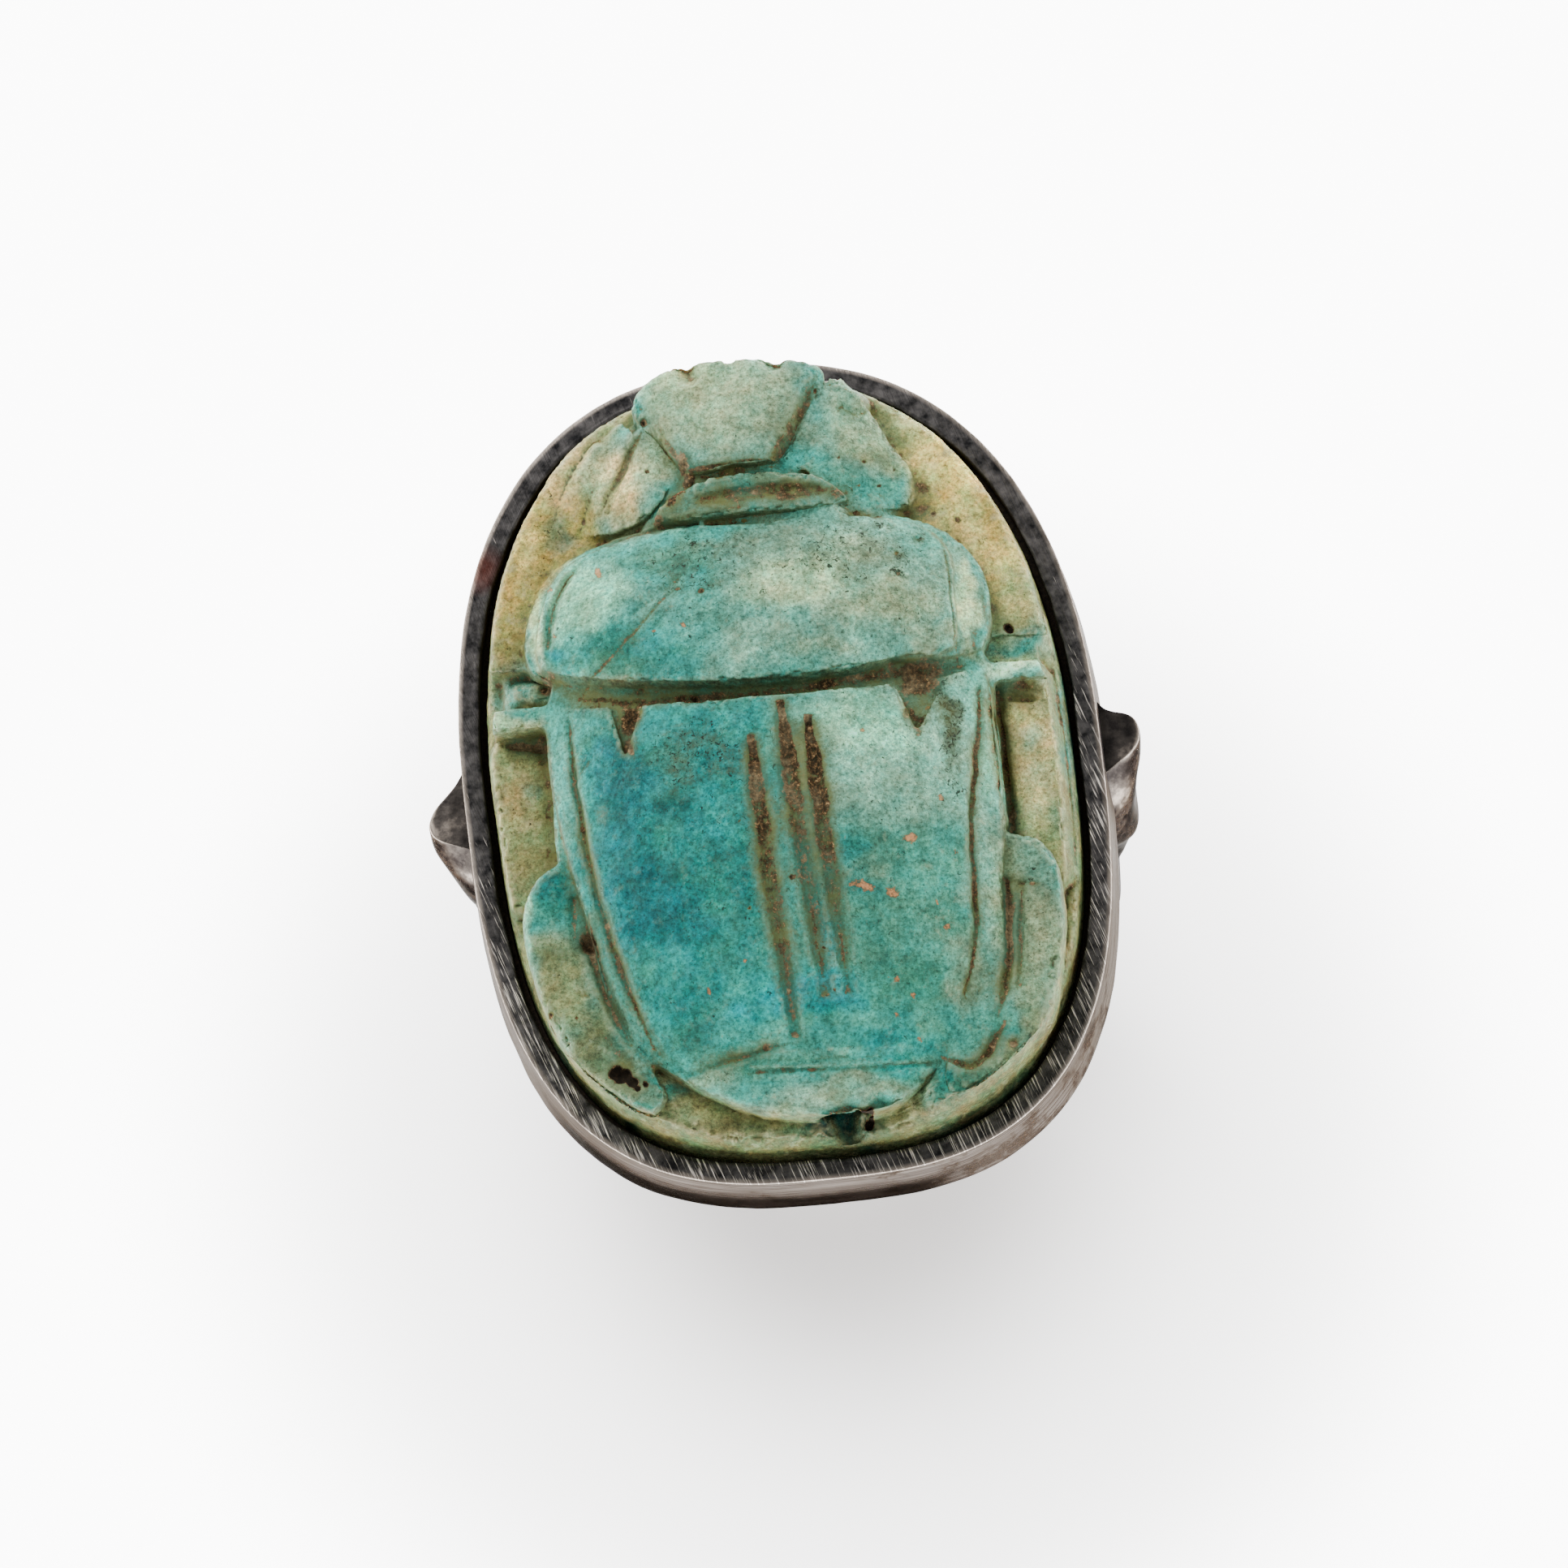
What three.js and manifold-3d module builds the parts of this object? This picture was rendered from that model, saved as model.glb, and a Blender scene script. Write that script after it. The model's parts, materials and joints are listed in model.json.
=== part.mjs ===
// A silver finger ring with a fixed box bezel that holds a carved scarab of glazed stone.
// Millimetres. The origin is the centre of the finger hole, Y runs along the finger towards the
// beetle's head, and Z points out of the bezel's face.
import * as THREE from 'three';
import { mergeVertices } from 'three/addons/utils/BufferGeometryUtils.js';
import Module from 'manifold-3d';

const wasm = await Module();
wasm.setup();

// Hoop round the finger
const finger_radius = 8.9;
const hoop_thickness = 1.3;
const arm_width = 3.0;          // along the finger, where the shoulders start
const foot_width = 2.5;         // along the finger, at the lowest point
const arm_drop = 4.6;           // from the bezel's rim down to where the shoulders start
const hoop_offset = -0.15;      // the round part was bent a little to one side
const section_fullness_share = 0.7;

// Bezel: an upright wall round a flat floor, both following one hand-made oval
const rim_height = 10.5;        // from the finger's axis up to the top of the wall
const bezel_half_width = 9.4;
const bezel_half_length = 12.63;
const wall_height = 2.1;
const wall_thickness = 0.62;
const wall_flare = 0.15;        // the foot of the wall stands this far out past its rim
const rim_bevel = 0.07;
const floor_thickness = 0.6;
const head_end_power = 2.38;    // how square the oval is at each end, 2 being an ellipse
const tail_end_power = 2.8;
const oval_lean_share = 0.028;

// Shoulders: cast buds between the hoop and the bezel's sides
const shoulder_reach = 1.22;    // out from the wall to the tip
const shoulder_half_width = 1.65;
const shoulder_top_drop = 0.85; // below the rim
const tip_drop = 1.4;
const neck_drop = 3.1;
const neck_thickness = 1.0;
const shoulder_waist_share = 0.42;
const nose_width_share = 0.62;

// Fits
const solder_gap = 0.03;
const bed_gap = 0.04;
const stone_gap = 0.27;         // open gap round the stone at the rim
const bedding_thickness = 0.25;
const bedding_drop = 0.75;      // the filling stops this far below the rim
const overrun = 1.0;            // cutters run on this far past what they cut

// Scarab: heights are above the rim
const base_top = 0.55;
const base_bevel = 0.22;
const low_slab_top = 1.0;
const low_slab_inset = 0.5;
const front_slab_top = 1.6;
const front_slab_inset = 0.12;
const slab_bevel = 0.25;
const leg_top = 2.0;
const leg_bevel = 0.2;
const back_crown = 4.3;
const pronotum_crown = 4.1;
const head_crown = 3.5;
const dome_depth = 10.3;        // from a dome's crown down to its centre
const elytra_dome_half_width = 11.2;
const elytra_dome_half_length = 15.4;
const pronotum_dome_half_width = 13.0;
const pronotum_dome_half_length = 9.4;
const head_dome_half_width = 10.0;
const head_dome_half_length = 12.2;
const waist_depth = 0.55;       // groove between pronotum and wing cases
const border_step = 0.3;        // raised edge of the pronotum, below its disc
const cheek_step = 0.4;
const face_groove_depth = 0.75;
const suture_width = 0.42;      // the three lines down the middle of the wing cases
const border_line_width = 0.28;
const fine_line_width = 0.2;
const leg_line_width = 0.36;
const line_depth_share = 0.4;   // of a line's width
const wedge_floor_drop = 1.35;  // the two wedges behind the waist end this far below the crown
const tooth_gap_radius = 0.22;  // between the lobes of the clypeus
const waist_pit_radius = 0.45;
const thread_hole_radius = 0.75;
const thread_hole_height = 1.05;
const thread_hole_tail_shift = 1.1;
const thread_hole_head_shift = -0.5;

// Outlines of the carving, as shares of the stone's half-width and half-length
const pronotum_shares = [
  [-0.59, 0.571], [-0.353, 0.592], [-0.118, 0.575], [0.118, 0.575], [0.353, 0.583], [0.529, 0.562],
  [0.646, 0.52], [0.74, 0.434], [0.776, 0.341], [0.764, 0.247], [0.73, 0.19], [0.47, 0.155],
  [0.235, 0.131], [0, 0.122], [-0.235, 0.135], [-0.47, 0.165], [-0.68, 0.204], [-0.81, 0.243],
  [-0.84, 0.29], [-0.834, 0.366], [-0.793, 0.46], [-0.705, 0.537],
];
const pronotum_disc_shares = [
  [-0.53, 0.557], [-0.3, 0.575], [0, 0.56], [0.3, 0.567], [0.5, 0.546], [0.6, 0.507], [0.655, 0.44],
  [0.66, 0.35], [0.655, 0.26], [0.64, 0.185], [0.4, 0.152], [0.1, 0.13], [-0.2, 0.138],
  [-0.45, 0.168], [-0.66, 0.208], [-0.785, 0.25], [-0.795, 0.33], [-0.77, 0.41], [-0.72, 0.49],
  [-0.64, 0.535],
];
const elytra_shares = [
  [-0.77, 0.15], [-0.588, 0.126], [-0.353, 0.1], [0, 0.081], [0.353, 0.092], [0.588, 0.118],
  [0.735, 0.14], [0.752, 0], [0.758, -0.17], [0.74, -0.34], [0.717, -0.477], [0.67, -0.613],
  [0.588, -0.733], [0.482, -0.835], [0.376, -0.911], [0.259, -0.95], [0.141, -0.958], [0, -0.954],
  [-0.153, -0.933], [-0.329, -0.877], [-0.458, -0.818], [-0.552, -0.75], [-0.623, -0.656],
  [-0.67, -0.537], [-0.705, -0.392], [-0.74, -0.256], [-0.776, -0.085], [-0.78, 0.043],
];
const waist_shares = [
  [-0.74, 0.25], [0.7, 0.25], [0.72, 0.05], [-0.74, 0.05],
];
const clypeus_shares = [
  [-0.4, 0.885], [-0.34, 0.95], [-0.235, 0.98], [-0.12, 0.988], [0, 0.985], [0.12, 0.972],
  [0.235, 0.95], [0.275, 0.92], [0.18, 0.81], [0.08, 0.715], [-0.06, 0.715], [-0.21, 0.71],
  [-0.3, 0.8],
];
const head_shares = [
  [-0.35, 0.6], [-0.31, 0.64], [-0.22, 0.672], [-0.06, 0.69], [0.153, 0.683], [0.27, 0.65],
  [0.33, 0.6], [0.2, 0.585], [0, 0.582], [-0.2, 0.587],
];
const right_cheek_shares = [
  [0.15, 0.705], [0.25, 0.81], [0.325, 0.91], [0.38, 0.89], [0.445, 0.835], [0.48, 0.767],
  [0.535, 0.716], [0.555, 0.65], [0.53, 0.6], [0.4, 0.59], [0.33, 0.65],
];
const left_cheek_shares = [
  [-0.285, 0.7], [-0.38, 0.8], [-0.44, 0.9], [-0.49, 0.875], [-0.555, 0.81], [-0.62, 0.75],
  [-0.65, 0.68], [-0.61, 0.62], [-0.5, 0.6], [-0.36, 0.63],
];
const face_floor_shares = [
  [-0.5, 0.56], [-0.55, 0.7], [-0.42, 0.88], [-0.2, 0.96], [0.12, 0.95], [0.33, 0.88],
  [0.45, 0.75], [0.46, 0.56],
];
const front_slab_cut_shares = [[-1.1, 0.285], [1.1, 0.235], [1.1, 1.1], [-1.1, 1.1]];
const right_leg_bar_shares = [[0.69, 0.17], [0.92, 0.165], [0.945, 0.118], [0.69, 0.118]];
const left_leg_bar_shares = [[-0.7, 0.175], [-0.96, 0.172], [-0.975, 0.118], [-0.7, 0.118]];
const right_thigh_shares = [[0.69, 0.13], [0.765, 0.13], [0.765, -0.25], [0.69, -0.27]];
const left_thigh_shares = [[-0.7, 0.13], [-0.79, 0.13], [-0.785, -0.23], [-0.7, -0.27]];
const right_hind_leg_shares = [
  [0.66, -0.25], [0.776, -0.283], [0.858, -0.298], [0.915, -0.35], [0.93, -0.45], [0.92, -0.55],
  [0.9, -0.64], [0.86, -0.74], [0.78, -0.81], [0.7, -0.86], [0.58, -0.92], [0.48, -0.93],
  [0.5, -0.8], [0.62, -0.6], [0.68, -0.4],
];
const left_hind_leg_shares = [
  [-0.73, -0.24], [-0.846, -0.264], [-0.905, -0.33], [-0.92, -0.434], [-0.895, -0.545],
  [-0.85, -0.66], [-0.776, -0.76], [-0.67, -0.843], [-0.53, -0.91], [-0.47, -0.86],
  [-0.6, -0.7], [-0.69, -0.5],
];
const sutures_shares = [
  [[-0.07, -0.04], [-0.07, -0.2], [-0.06, -0.37], [-0.035, -0.575], [-0.018, -0.785]],
  [[0.04, 0.06], [0.047, -0.115], [0.06, -0.28], [0.08, -0.49], [0.1, -0.69]],
  [[0.13, 0], [0.135, -0.2], [0.147, -0.325], [0.165, -0.53], [0.182, -0.69]],
];
const elytra_borders_shares = [
  [[-0.705, 0.12], [-0.7, -0.07], [-0.685, -0.24], [-0.65, -0.41], [-0.575, -0.62], [-0.475, -0.79]],
  [[0.715, 0.1], [0.695, -0.074], [0.648, -0.245], [0.635, -0.45], [0.61, -0.58], [0.565, -0.715]],
];
const tail_lines_shares = [
  [[-0.42, -0.83], [-0.25, -0.815], [-0.07, -0.79]],
  [[-0.2, -0.845], [0.15, -0.86], [0.46, -0.855]],
];
const hairline_shares = [[-0.68, 0.2], [-0.58, 0.28], [-0.47, 0.33], [-0.27, 0.425]];
const wedges_shares = [
  [[-0.565, 0.16], [-0.425, 0.16], [-0.511, -0.038]],
  [[0.405, 0.16], [0.625, 0.16], [0.488, -0.043]],
];
const right_leg_lines_shares = [
  [[0.74, -0.39], [0.735, -0.55], [0.7, -0.73], [0.62, -0.85]],
  [[0.79, -0.41], [0.77, -0.65], [0.68, -0.8]],
];
const left_leg_lines_shares = [
  [[-0.74, -0.33], [-0.745, -0.5], [-0.7, -0.66], [-0.58, -0.8]],
];
const cheek_line_shares = [[-0.385, 0.86], [-0.46, 0.75], [-0.52, 0.65]];
const head_hollow_shares = [[-0.2, 0.632], [0, 0.64], [0.24, 0.632]];
const clypeus_gaps_shares = [[-0.19, 0.985], [-0.045, 0.99], [0.12, 0.975]];
const waist_pits_shares = [[-0.79, 0.235], [0.84, 0.23]];

// Fineness of the curves
const weld_distance = 1e-5;
const oval_steps = 72;
const bevel_steps = 2;
const hoop_bends = 18;
const hoop_steps = 56;
const section_sides = 8;
const shoulder_side_steps = 8;
const shoulder_plan_steps = 6;
const dome_turns = 96;
const dome_rings = 44;
const points_per_span = 2;
const line_sides = 6;
const steps_per_span = 3;
const drill_sides = 16;
const pit_turns = 12;
const pit_rings = 8;

// What follows from the sizes above
const floor_level = -wall_height;
const floor_top = floor_level + floor_thickness;
const stone_base = floor_top + bedding_thickness;
const stone_half_width = bezel_half_width - wall_thickness - stone_gap;
const stone_half_length = bezel_half_length - wall_thickness - stone_gap;
const hoop_radius = finger_radius + hoop_thickness / 2;
const arm_height = rim_height - arm_drop;

const silver = { color: 0x9b938b, roughness: 0.34, metalness: 1 };
const cast_silver = { color: 0x8d857c, roughness: 0.38, metalness: 1 };
const glazed_stone = { color: 0x63b2aa, roughness: 0.55, metalness: 0 };
const dark_cement = { color: 0x2a251f, roughness: 0.9, metalness: 0 };

// Meshes, solids and back again

function solidOf(geometry) {
  const bare = geometry.index ? geometry.toNonIndexed() : geometry.clone();
  bare.deleteAttribute('normal');
  bare.deleteAttribute('uv');
  const merged = mergeVertices(bare, weld_distance);
  return new wasm.Manifold(new wasm.Mesh({
    numProp: 3,
    vertProperties: new Float32Array(merged.attributes.position.array),
    triVerts: new Uint32Array(merged.index.array),
  }));
}

function meshOf(name, solid, finish) {
  const { numProp, vertProperties, triVerts } = solid.getMesh();
  const positions = new Float32Array((vertProperties.length / numProp) * 3);
  for (let i = 0; i < positions.length / 3; i += 1) {
    positions.set(vertProperties.subarray(i * numProp, i * numProp + 3), i * 3);
  }
  const geometry = new THREE.BufferGeometry();
  geometry.setAttribute('position', new THREE.BufferAttribute(positions, 3));
  geometry.setIndex(new THREE.BufferAttribute(new Uint32Array(triVerts), 1));
  geometry.computeVertexNormals();
  const mesh = new THREE.Mesh(geometry, new THREE.MeshStandardMaterial(finish));
  mesh.name = name;
  return mesh;
}

// The bezel's oval, drawn in by the same amount all round

function ovalPoints(inset) {
  const points = [];
  for (let i = 0; i < oval_steps; i += 1) {
    const turn = (i / oval_steps) * 2 * Math.PI;
    const across = Math.cos(turn);
    const along = Math.sin(turn);
    const power = 2 / (along > 0 ? head_end_power : tail_end_power);
    const y = (bezel_half_length - inset) * Math.sign(along) * Math.abs(along) ** power;
    const x = (bezel_half_width - inset) * Math.sign(across) * Math.abs(across) ** power;
    points.push(new THREE.Vector2(x - oval_lean_share * y, y));
  }
  return points;
}

// Everything that stands in the bezel widens downwards with its wall
function flare(geometry) {
  const places = geometry.attributes.position;
  for (let i = 0; i < places.count; i += 1) {
    const depth = Math.max(0, -places.getZ(i));
    const spread = 1 + ((wall_flare / bezel_half_width) * depth) / wall_height;
    places.setXY(i, places.getX(i) * spread, places.getY(i) * spread);
  }
  return geometry;
}

function prism(points, low, high, bevel = 0, hole = null) {
  const shape = new THREE.Shape(points);
  if (hole) shape.holes.push(new THREE.Path(hole));
  const geometry = new THREE.ExtrudeGeometry(shape, {
    depth: high - low - 2 * bevel,
    bevelEnabled: bevel > 0,
    bevelThickness: bevel,
    bevelSize: bevel,
    bevelOffset: -bevel,
    bevelSegments: bevel_steps,
    curveSegments: 1,
  });
  return geometry.translate(0, 0, low + bevel);
}

// Silver pieces

function bezelWall() {
  const strip = prism(ovalPoints(0), floor_level, 0, rim_bevel, ovalPoints(wall_thickness));
  return solidOf(flare(strip));
}

function bezelFloor() {
  const edge = ovalPoints(wall_thickness + solder_gap);
  return solidOf(flare(prism(edge, floor_level, floor_top)));
}

// The hoop runs from one arm's top round under the finger to the other's
function hoopPath() {
  const arm_end = arm_height + overrun;
  const points = [new THREE.Vector3(-hoop_radius, 0, arm_end)];
  for (let i = 0; i <= hoop_bends; i += 1) {
    const angle = Math.PI * (1 + i / hoop_bends);
    points.push(new THREE.Vector3(
      hoop_offset + hoop_radius * Math.cos(angle), 0, hoop_radius * Math.sin(angle)));
  }
  points.push(new THREE.Vector3(hoop_radius, 0, arm_end));
  return new THREE.CatmullRomCurve3(points, false, 'centripetal');
}

// Flat towards the finger, rounded outside
function hoopSection() {
  const section = [];
  for (let i = 0; i <= section_sides; i += 1) {
    const turn = Math.PI * (i / section_sides - 1 / 2);
    const height_share = Math.max(0, Math.cos(turn)) ** section_fullness_share - 1 / 2;
    section.push(new THREE.Vector2((arm_width / 2) * Math.sin(turn), hoop_thickness * height_share));
  }
  return new THREE.Shape(section);
}

function shank() {
  const hoop = new THREE.ExtrudeGeometry(hoopSection(), { steps: hoop_steps, extrudePath: hoopPath() });
  const places = hoop.attributes.position;
  for (let i = 0; i < places.count; i += 1) {
    const depth_share = THREE.MathUtils.clamp(-places.getZ(i) / hoop_radius, 0, 1);
    const width_share = THREE.MathUtils.lerp(1, foot_width / arm_width, depth_share);
    places.setY(i, places.getY(i) * width_share);
  }
  const reach = 2 * (hoop_radius + hoop_thickness);
  const above = new THREE.BoxGeometry(reach, 2 * arm_width, 2 * overrun + solder_gap);
  above.translate(0, 0, arm_height + overrun - solder_gap / 2);
  return solidOf(hoop).subtract(solidOf(above));
}

// A cast bud: its side view and its plan, each a profile, cross in the solid
function shoulder(side) {
  const tip = bezel_half_width + shoulder_reach;
  const inside = bezel_half_width - wall_thickness;
  const profile = new THREE.Shape();
  profile.moveTo(finger_radius, -arm_drop);
  profile.lineTo(finger_radius + hoop_thickness, -arm_drop);
  profile.quadraticCurveTo(finger_radius + neck_thickness, -neck_drop, tip, -tip_drop);
  profile.quadraticCurveTo(tip, -shoulder_top_drop, bezel_half_width, -shoulder_top_drop);
  profile.lineTo(inside, -shoulder_top_drop);
  profile.lineTo(inside, -wall_height - solder_gap);
  profile.lineTo(finger_radius, -wall_height - solder_gap);
  const upright = new THREE.ExtrudeGeometry(profile, {
    depth: 2 * shoulder_half_width, bevelEnabled: false, curveSegments: shoulder_side_steps,
  });
  upright.rotateX(Math.PI / 2).translate(0, shoulder_half_width, 0);
  const bud = new THREE.Shape();
  const waist = bezel_half_width + shoulder_reach * shoulder_waist_share;
  const root = finger_radius - overrun;
  const nose_half_width = shoulder_half_width * nose_width_share;
  bud.moveTo(root, -shoulder_half_width);
  bud.lineTo(bezel_half_width, -shoulder_half_width);
  bud.quadraticCurveTo(bezel_half_width, -nose_half_width, waist, -nose_half_width);
  bud.quadraticCurveTo(tip, -nose_half_width, tip, 0);
  bud.quadraticCurveTo(tip, nose_half_width, waist, nose_half_width);
  bud.quadraticCurveTo(bezel_half_width, nose_half_width, bezel_half_width, shoulder_half_width);
  bud.lineTo(root, shoulder_half_width);
  const plan = new THREE.ExtrudeGeometry(bud, {
    depth: arm_drop, bevelEnabled: false, curveSegments: shoulder_plan_steps,
  });
  plan.translate(0, 0, -arm_drop);
  const envelope = flare(prism(ovalPoints(-solder_gap), floor_level - solder_gap, overrun));
  const turn = side > 0 ? 0 : Math.PI;
  const blank = solidOf(upright.rotateZ(turn)).intersect(solidOf(plan.rotateZ(turn)));
  return blank.subtract(solidOf(envelope));
}

// The filling lies on the floor, rises in the gap and leaves a bed for the stone
function bedding() {
  const tray = flare(prism(ovalPoints(wall_thickness + bed_gap), floor_top, -bedding_drop));
  const bed = flare(prism(ovalPoints(wall_thickness + stone_gap - bed_gap), stone_base, overrun));
  return solidOf(tray).subtract(solidOf(bed));
}

// The scarab: forms cut out of the stone, under domes that round them off

const elytra_dome = {
  crown: back_crown, half_width: elytra_dome_half_width, half_length: elytra_dome_half_length,
  center_share: -0.13,
};
const pronotum_dome = {
  crown: pronotum_crown, half_width: pronotum_dome_half_width, half_length: pronotum_dome_half_length,
  center_share: 0.24,
};
const head_dome = {
  crown: head_crown, half_width: head_dome_half_width, half_length: head_dome_half_length,
  center_share: 0.62,
};

function domeUnder(dome, drop = 0) {
  const ball = new THREE.SphereGeometry(1, dome_turns, dome_rings);
  ball.scale(dome.half_width, dome.half_length, dome_depth);
  const center = dome.center_share * stone_half_length;
  return solidOf(ball.translate(0, center, dome.crown - dome_depth - drop));
}

function domeHeight(dome, x, y) {
  const along = (y - dome.center_share * stone_half_length) / dome.half_length;
  const across = x / dome.half_width;
  return dome.crown - dome_depth * (1 - Math.sqrt(Math.max(0, 1 - along ** 2 - across ** 2)));
}

function onStone(shares) {
  return shares.map(([x, y]) => new THREE.Vector2(x * stone_half_width, y * stone_half_length));
}

function rounded(shares) {
  const corners = onStone(shares).map((corner) => new THREE.Vector3(corner.x, corner.y, 0));
  const curve = new THREE.CatmullRomCurve3(corners, true, 'centripetal');
  const points = curve.getPoints(corners.length * points_per_span);
  points.pop();
  return points.map((point) => new THREE.Vector2(point.x, point.y));
}

// A plateau of the carving: an outline raised from the base to a dome
function plateau(shares, dome, drop = 0) {
  const block = prism(rounded(shares), 0, dome.crown + overrun);
  return solidOf(block).intersect(domeUnder(dome, drop));
}

// A line drawn with a round burin, which follows the surface it is cut into
function engraved(shares, width, height_at) {
  const places = onStone(shares).map((place) => {
    const height = height_at(place.x, place.y) + width * (1 / 2 - line_depth_share);
    return new THREE.Vector3(place.x, place.y, height);
  });
  const path = new THREE.CatmullRomCurve3(places, false, 'centripetal');
  const tip = new THREE.Shape();
  tip.absarc(0, 0, width / 2, 0, 2 * Math.PI);
  return solidOf(new THREE.ExtrudeGeometry(tip, {
    steps: (places.length - 1) * steps_per_span, curveSegments: line_sides / 2, extrudePath: path,
  }));
}

function ballAt([x, y], radius, height) {
  const ball = new THREE.SphereGeometry(radius, pit_turns, pit_rings);
  return solidOf(ball.translate(x * stone_half_width, y * stone_half_length, height));
}

function scarabBase() {
  const edge = wall_thickness + stone_gap;
  const foot = solidOf(flare(prism(ovalPoints(edge), stone_base, base_top, base_bevel)));
  const low_slab = solidOf(prism(ovalPoints(edge + low_slab_inset), 0, low_slab_top, slab_bevel));
  const front = solidOf(prism(ovalPoints(edge + front_slab_inset), 0, front_slab_top, slab_bevel));
  const front_cut = solidOf(prism(onStone(front_slab_cut_shares), 0, front_slab_top + overrun));
  return foot.add(low_slab).add(front.intersect(front_cut));
}

function scarabLegs() {
  const bars = [right_leg_bar_shares, left_leg_bar_shares, right_thigh_shares, left_thigh_shares];
  const hind_legs = [right_hind_leg_shares, left_hind_leg_shares];
  const solids = [
    ...bars.map((shares) => solidOf(prism(onStone(shares), 0, leg_top))),
    ...hind_legs.map((shares) => solidOf(prism(rounded(shares), 0, leg_top, leg_bevel))),
  ];
  return solids.reduce((all, solid) => all.add(solid));
}

function scarabHead() {
  const face = plateau(face_floor_shares, head_dome, face_groove_depth)
    .add(plateau(right_cheek_shares, head_dome, cheek_step))
    .add(plateau(left_cheek_shares, head_dome, cheek_step))
    .add(plateau(clypeus_shares, head_dome))
    .add(plateau(head_shares, head_dome));
  const on_face = (x, y) => domeHeight(head_dome, x, y);
  const on_cheek = (x, y) => domeHeight(head_dome, x, y) - cheek_step;
  const hollow = engraved(head_hollow_shares, leg_line_width, on_face);
  const cheek_line = engraved(cheek_line_shares, leg_line_width, on_cheek);
  const tooth_gaps = clypeus_gaps_shares.map(([x, y]) => {
    const drill = new THREE.CylinderGeometry(tooth_gap_radius, tooth_gap_radius, head_crown, drill_sides);
    drill.rotateX(Math.PI / 2);
    return solidOf(drill.translate(x * stone_half_width, y * stone_half_length, head_crown));
  });
  return [hollow, cheek_line, ...tooth_gaps].reduce((left, cutter) => left.subtract(cutter), face);
}

function scarabBody() {
  const core = plateau(waist_shares, pronotum_dome, waist_depth);
  const pronotum = plateau(pronotum_shares, pronotum_dome, border_step)
    .add(plateau(pronotum_disc_shares, pronotum_dome));
  const elytra = plateau(elytra_shares, elytra_dome);
  const on_back = (x, y) => domeHeight(elytra_dome, x, y);
  const on_pronotum = (x, y) => domeHeight(pronotum_dome, x, y);
  const cuts = [
    ...sutures_shares.map((shares) => engraved(shares, suture_width, on_back)),
    ...elytra_borders_shares.map((shares) => engraved(shares, border_line_width, on_back)),
    ...tail_lines_shares.map((shares) => engraved(shares, border_line_width, on_back)),
    engraved(hairline_shares, fine_line_width, on_pronotum),
    ...wedges_shares.map((shares) => (
      solidOf(prism(onStone(shares), back_crown - wedge_floor_drop, back_crown + overrun)))),
  ];
  return cuts.reduce((left, cutter) => left.subtract(cutter), core.add(pronotum).add(elytra));
}

function threadHole() {
  const length = 2 * (stone_half_length + overrun);
  const drill = new THREE.CylinderGeometry(thread_hole_radius, thread_hole_radius, length, drill_sides);
  const drift = (thread_hole_head_shift - thread_hole_tail_shift) / length;
  drill.rotateZ(-Math.atan(drift));
  const middle = (thread_hole_head_shift + thread_hole_tail_shift) / 2;
  return solidOf(drill.translate(middle, 0, thread_hole_height));
}

function scarab() {
  const carving = scarabBase().add(scarabLegs()).add(scarabHead()).add(scarabBody());
  const on_leg = () => leg_top;
  const leg_lines = [...right_leg_lines_shares, ...left_leg_lines_shares];
  const cuts = [
    ...leg_lines.map((shares) => engraved(shares, leg_line_width, on_leg)),
    ...waist_pits_shares.map((place) => ballAt(place, waist_pit_radius, low_slab_top)),
    threadHole(),
  ];
  return cuts.reduce((left, cutter) => left.subtract(cutter), carving);
}

const scarab_ring = new THREE.Group();
const bezel = new THREE.Group();
bezel.position.z = rim_height;
scarab_ring.add(bezel);
bezel.add(meshOf('scarab', scarab(), glazed_stone));
bezel.add(meshOf('bedding', bedding(), dark_cement));
bezel.add(meshOf('bezel_wall', bezelWall(), silver));
bezel.add(meshOf('bezel_floor', bezelFloor(), silver));
bezel.add(meshOf('right_shoulder', shoulder(1), cast_silver));
bezel.add(meshOf('left_shoulder', shoulder(-1), cast_silver));
scarab_ring.add(meshOf('shank', shank(), silver));

export default scarab_ring;
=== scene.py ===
import json
import math

import bpy
import numpy as np
from mathutils import Matrix, Vector, noise

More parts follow.
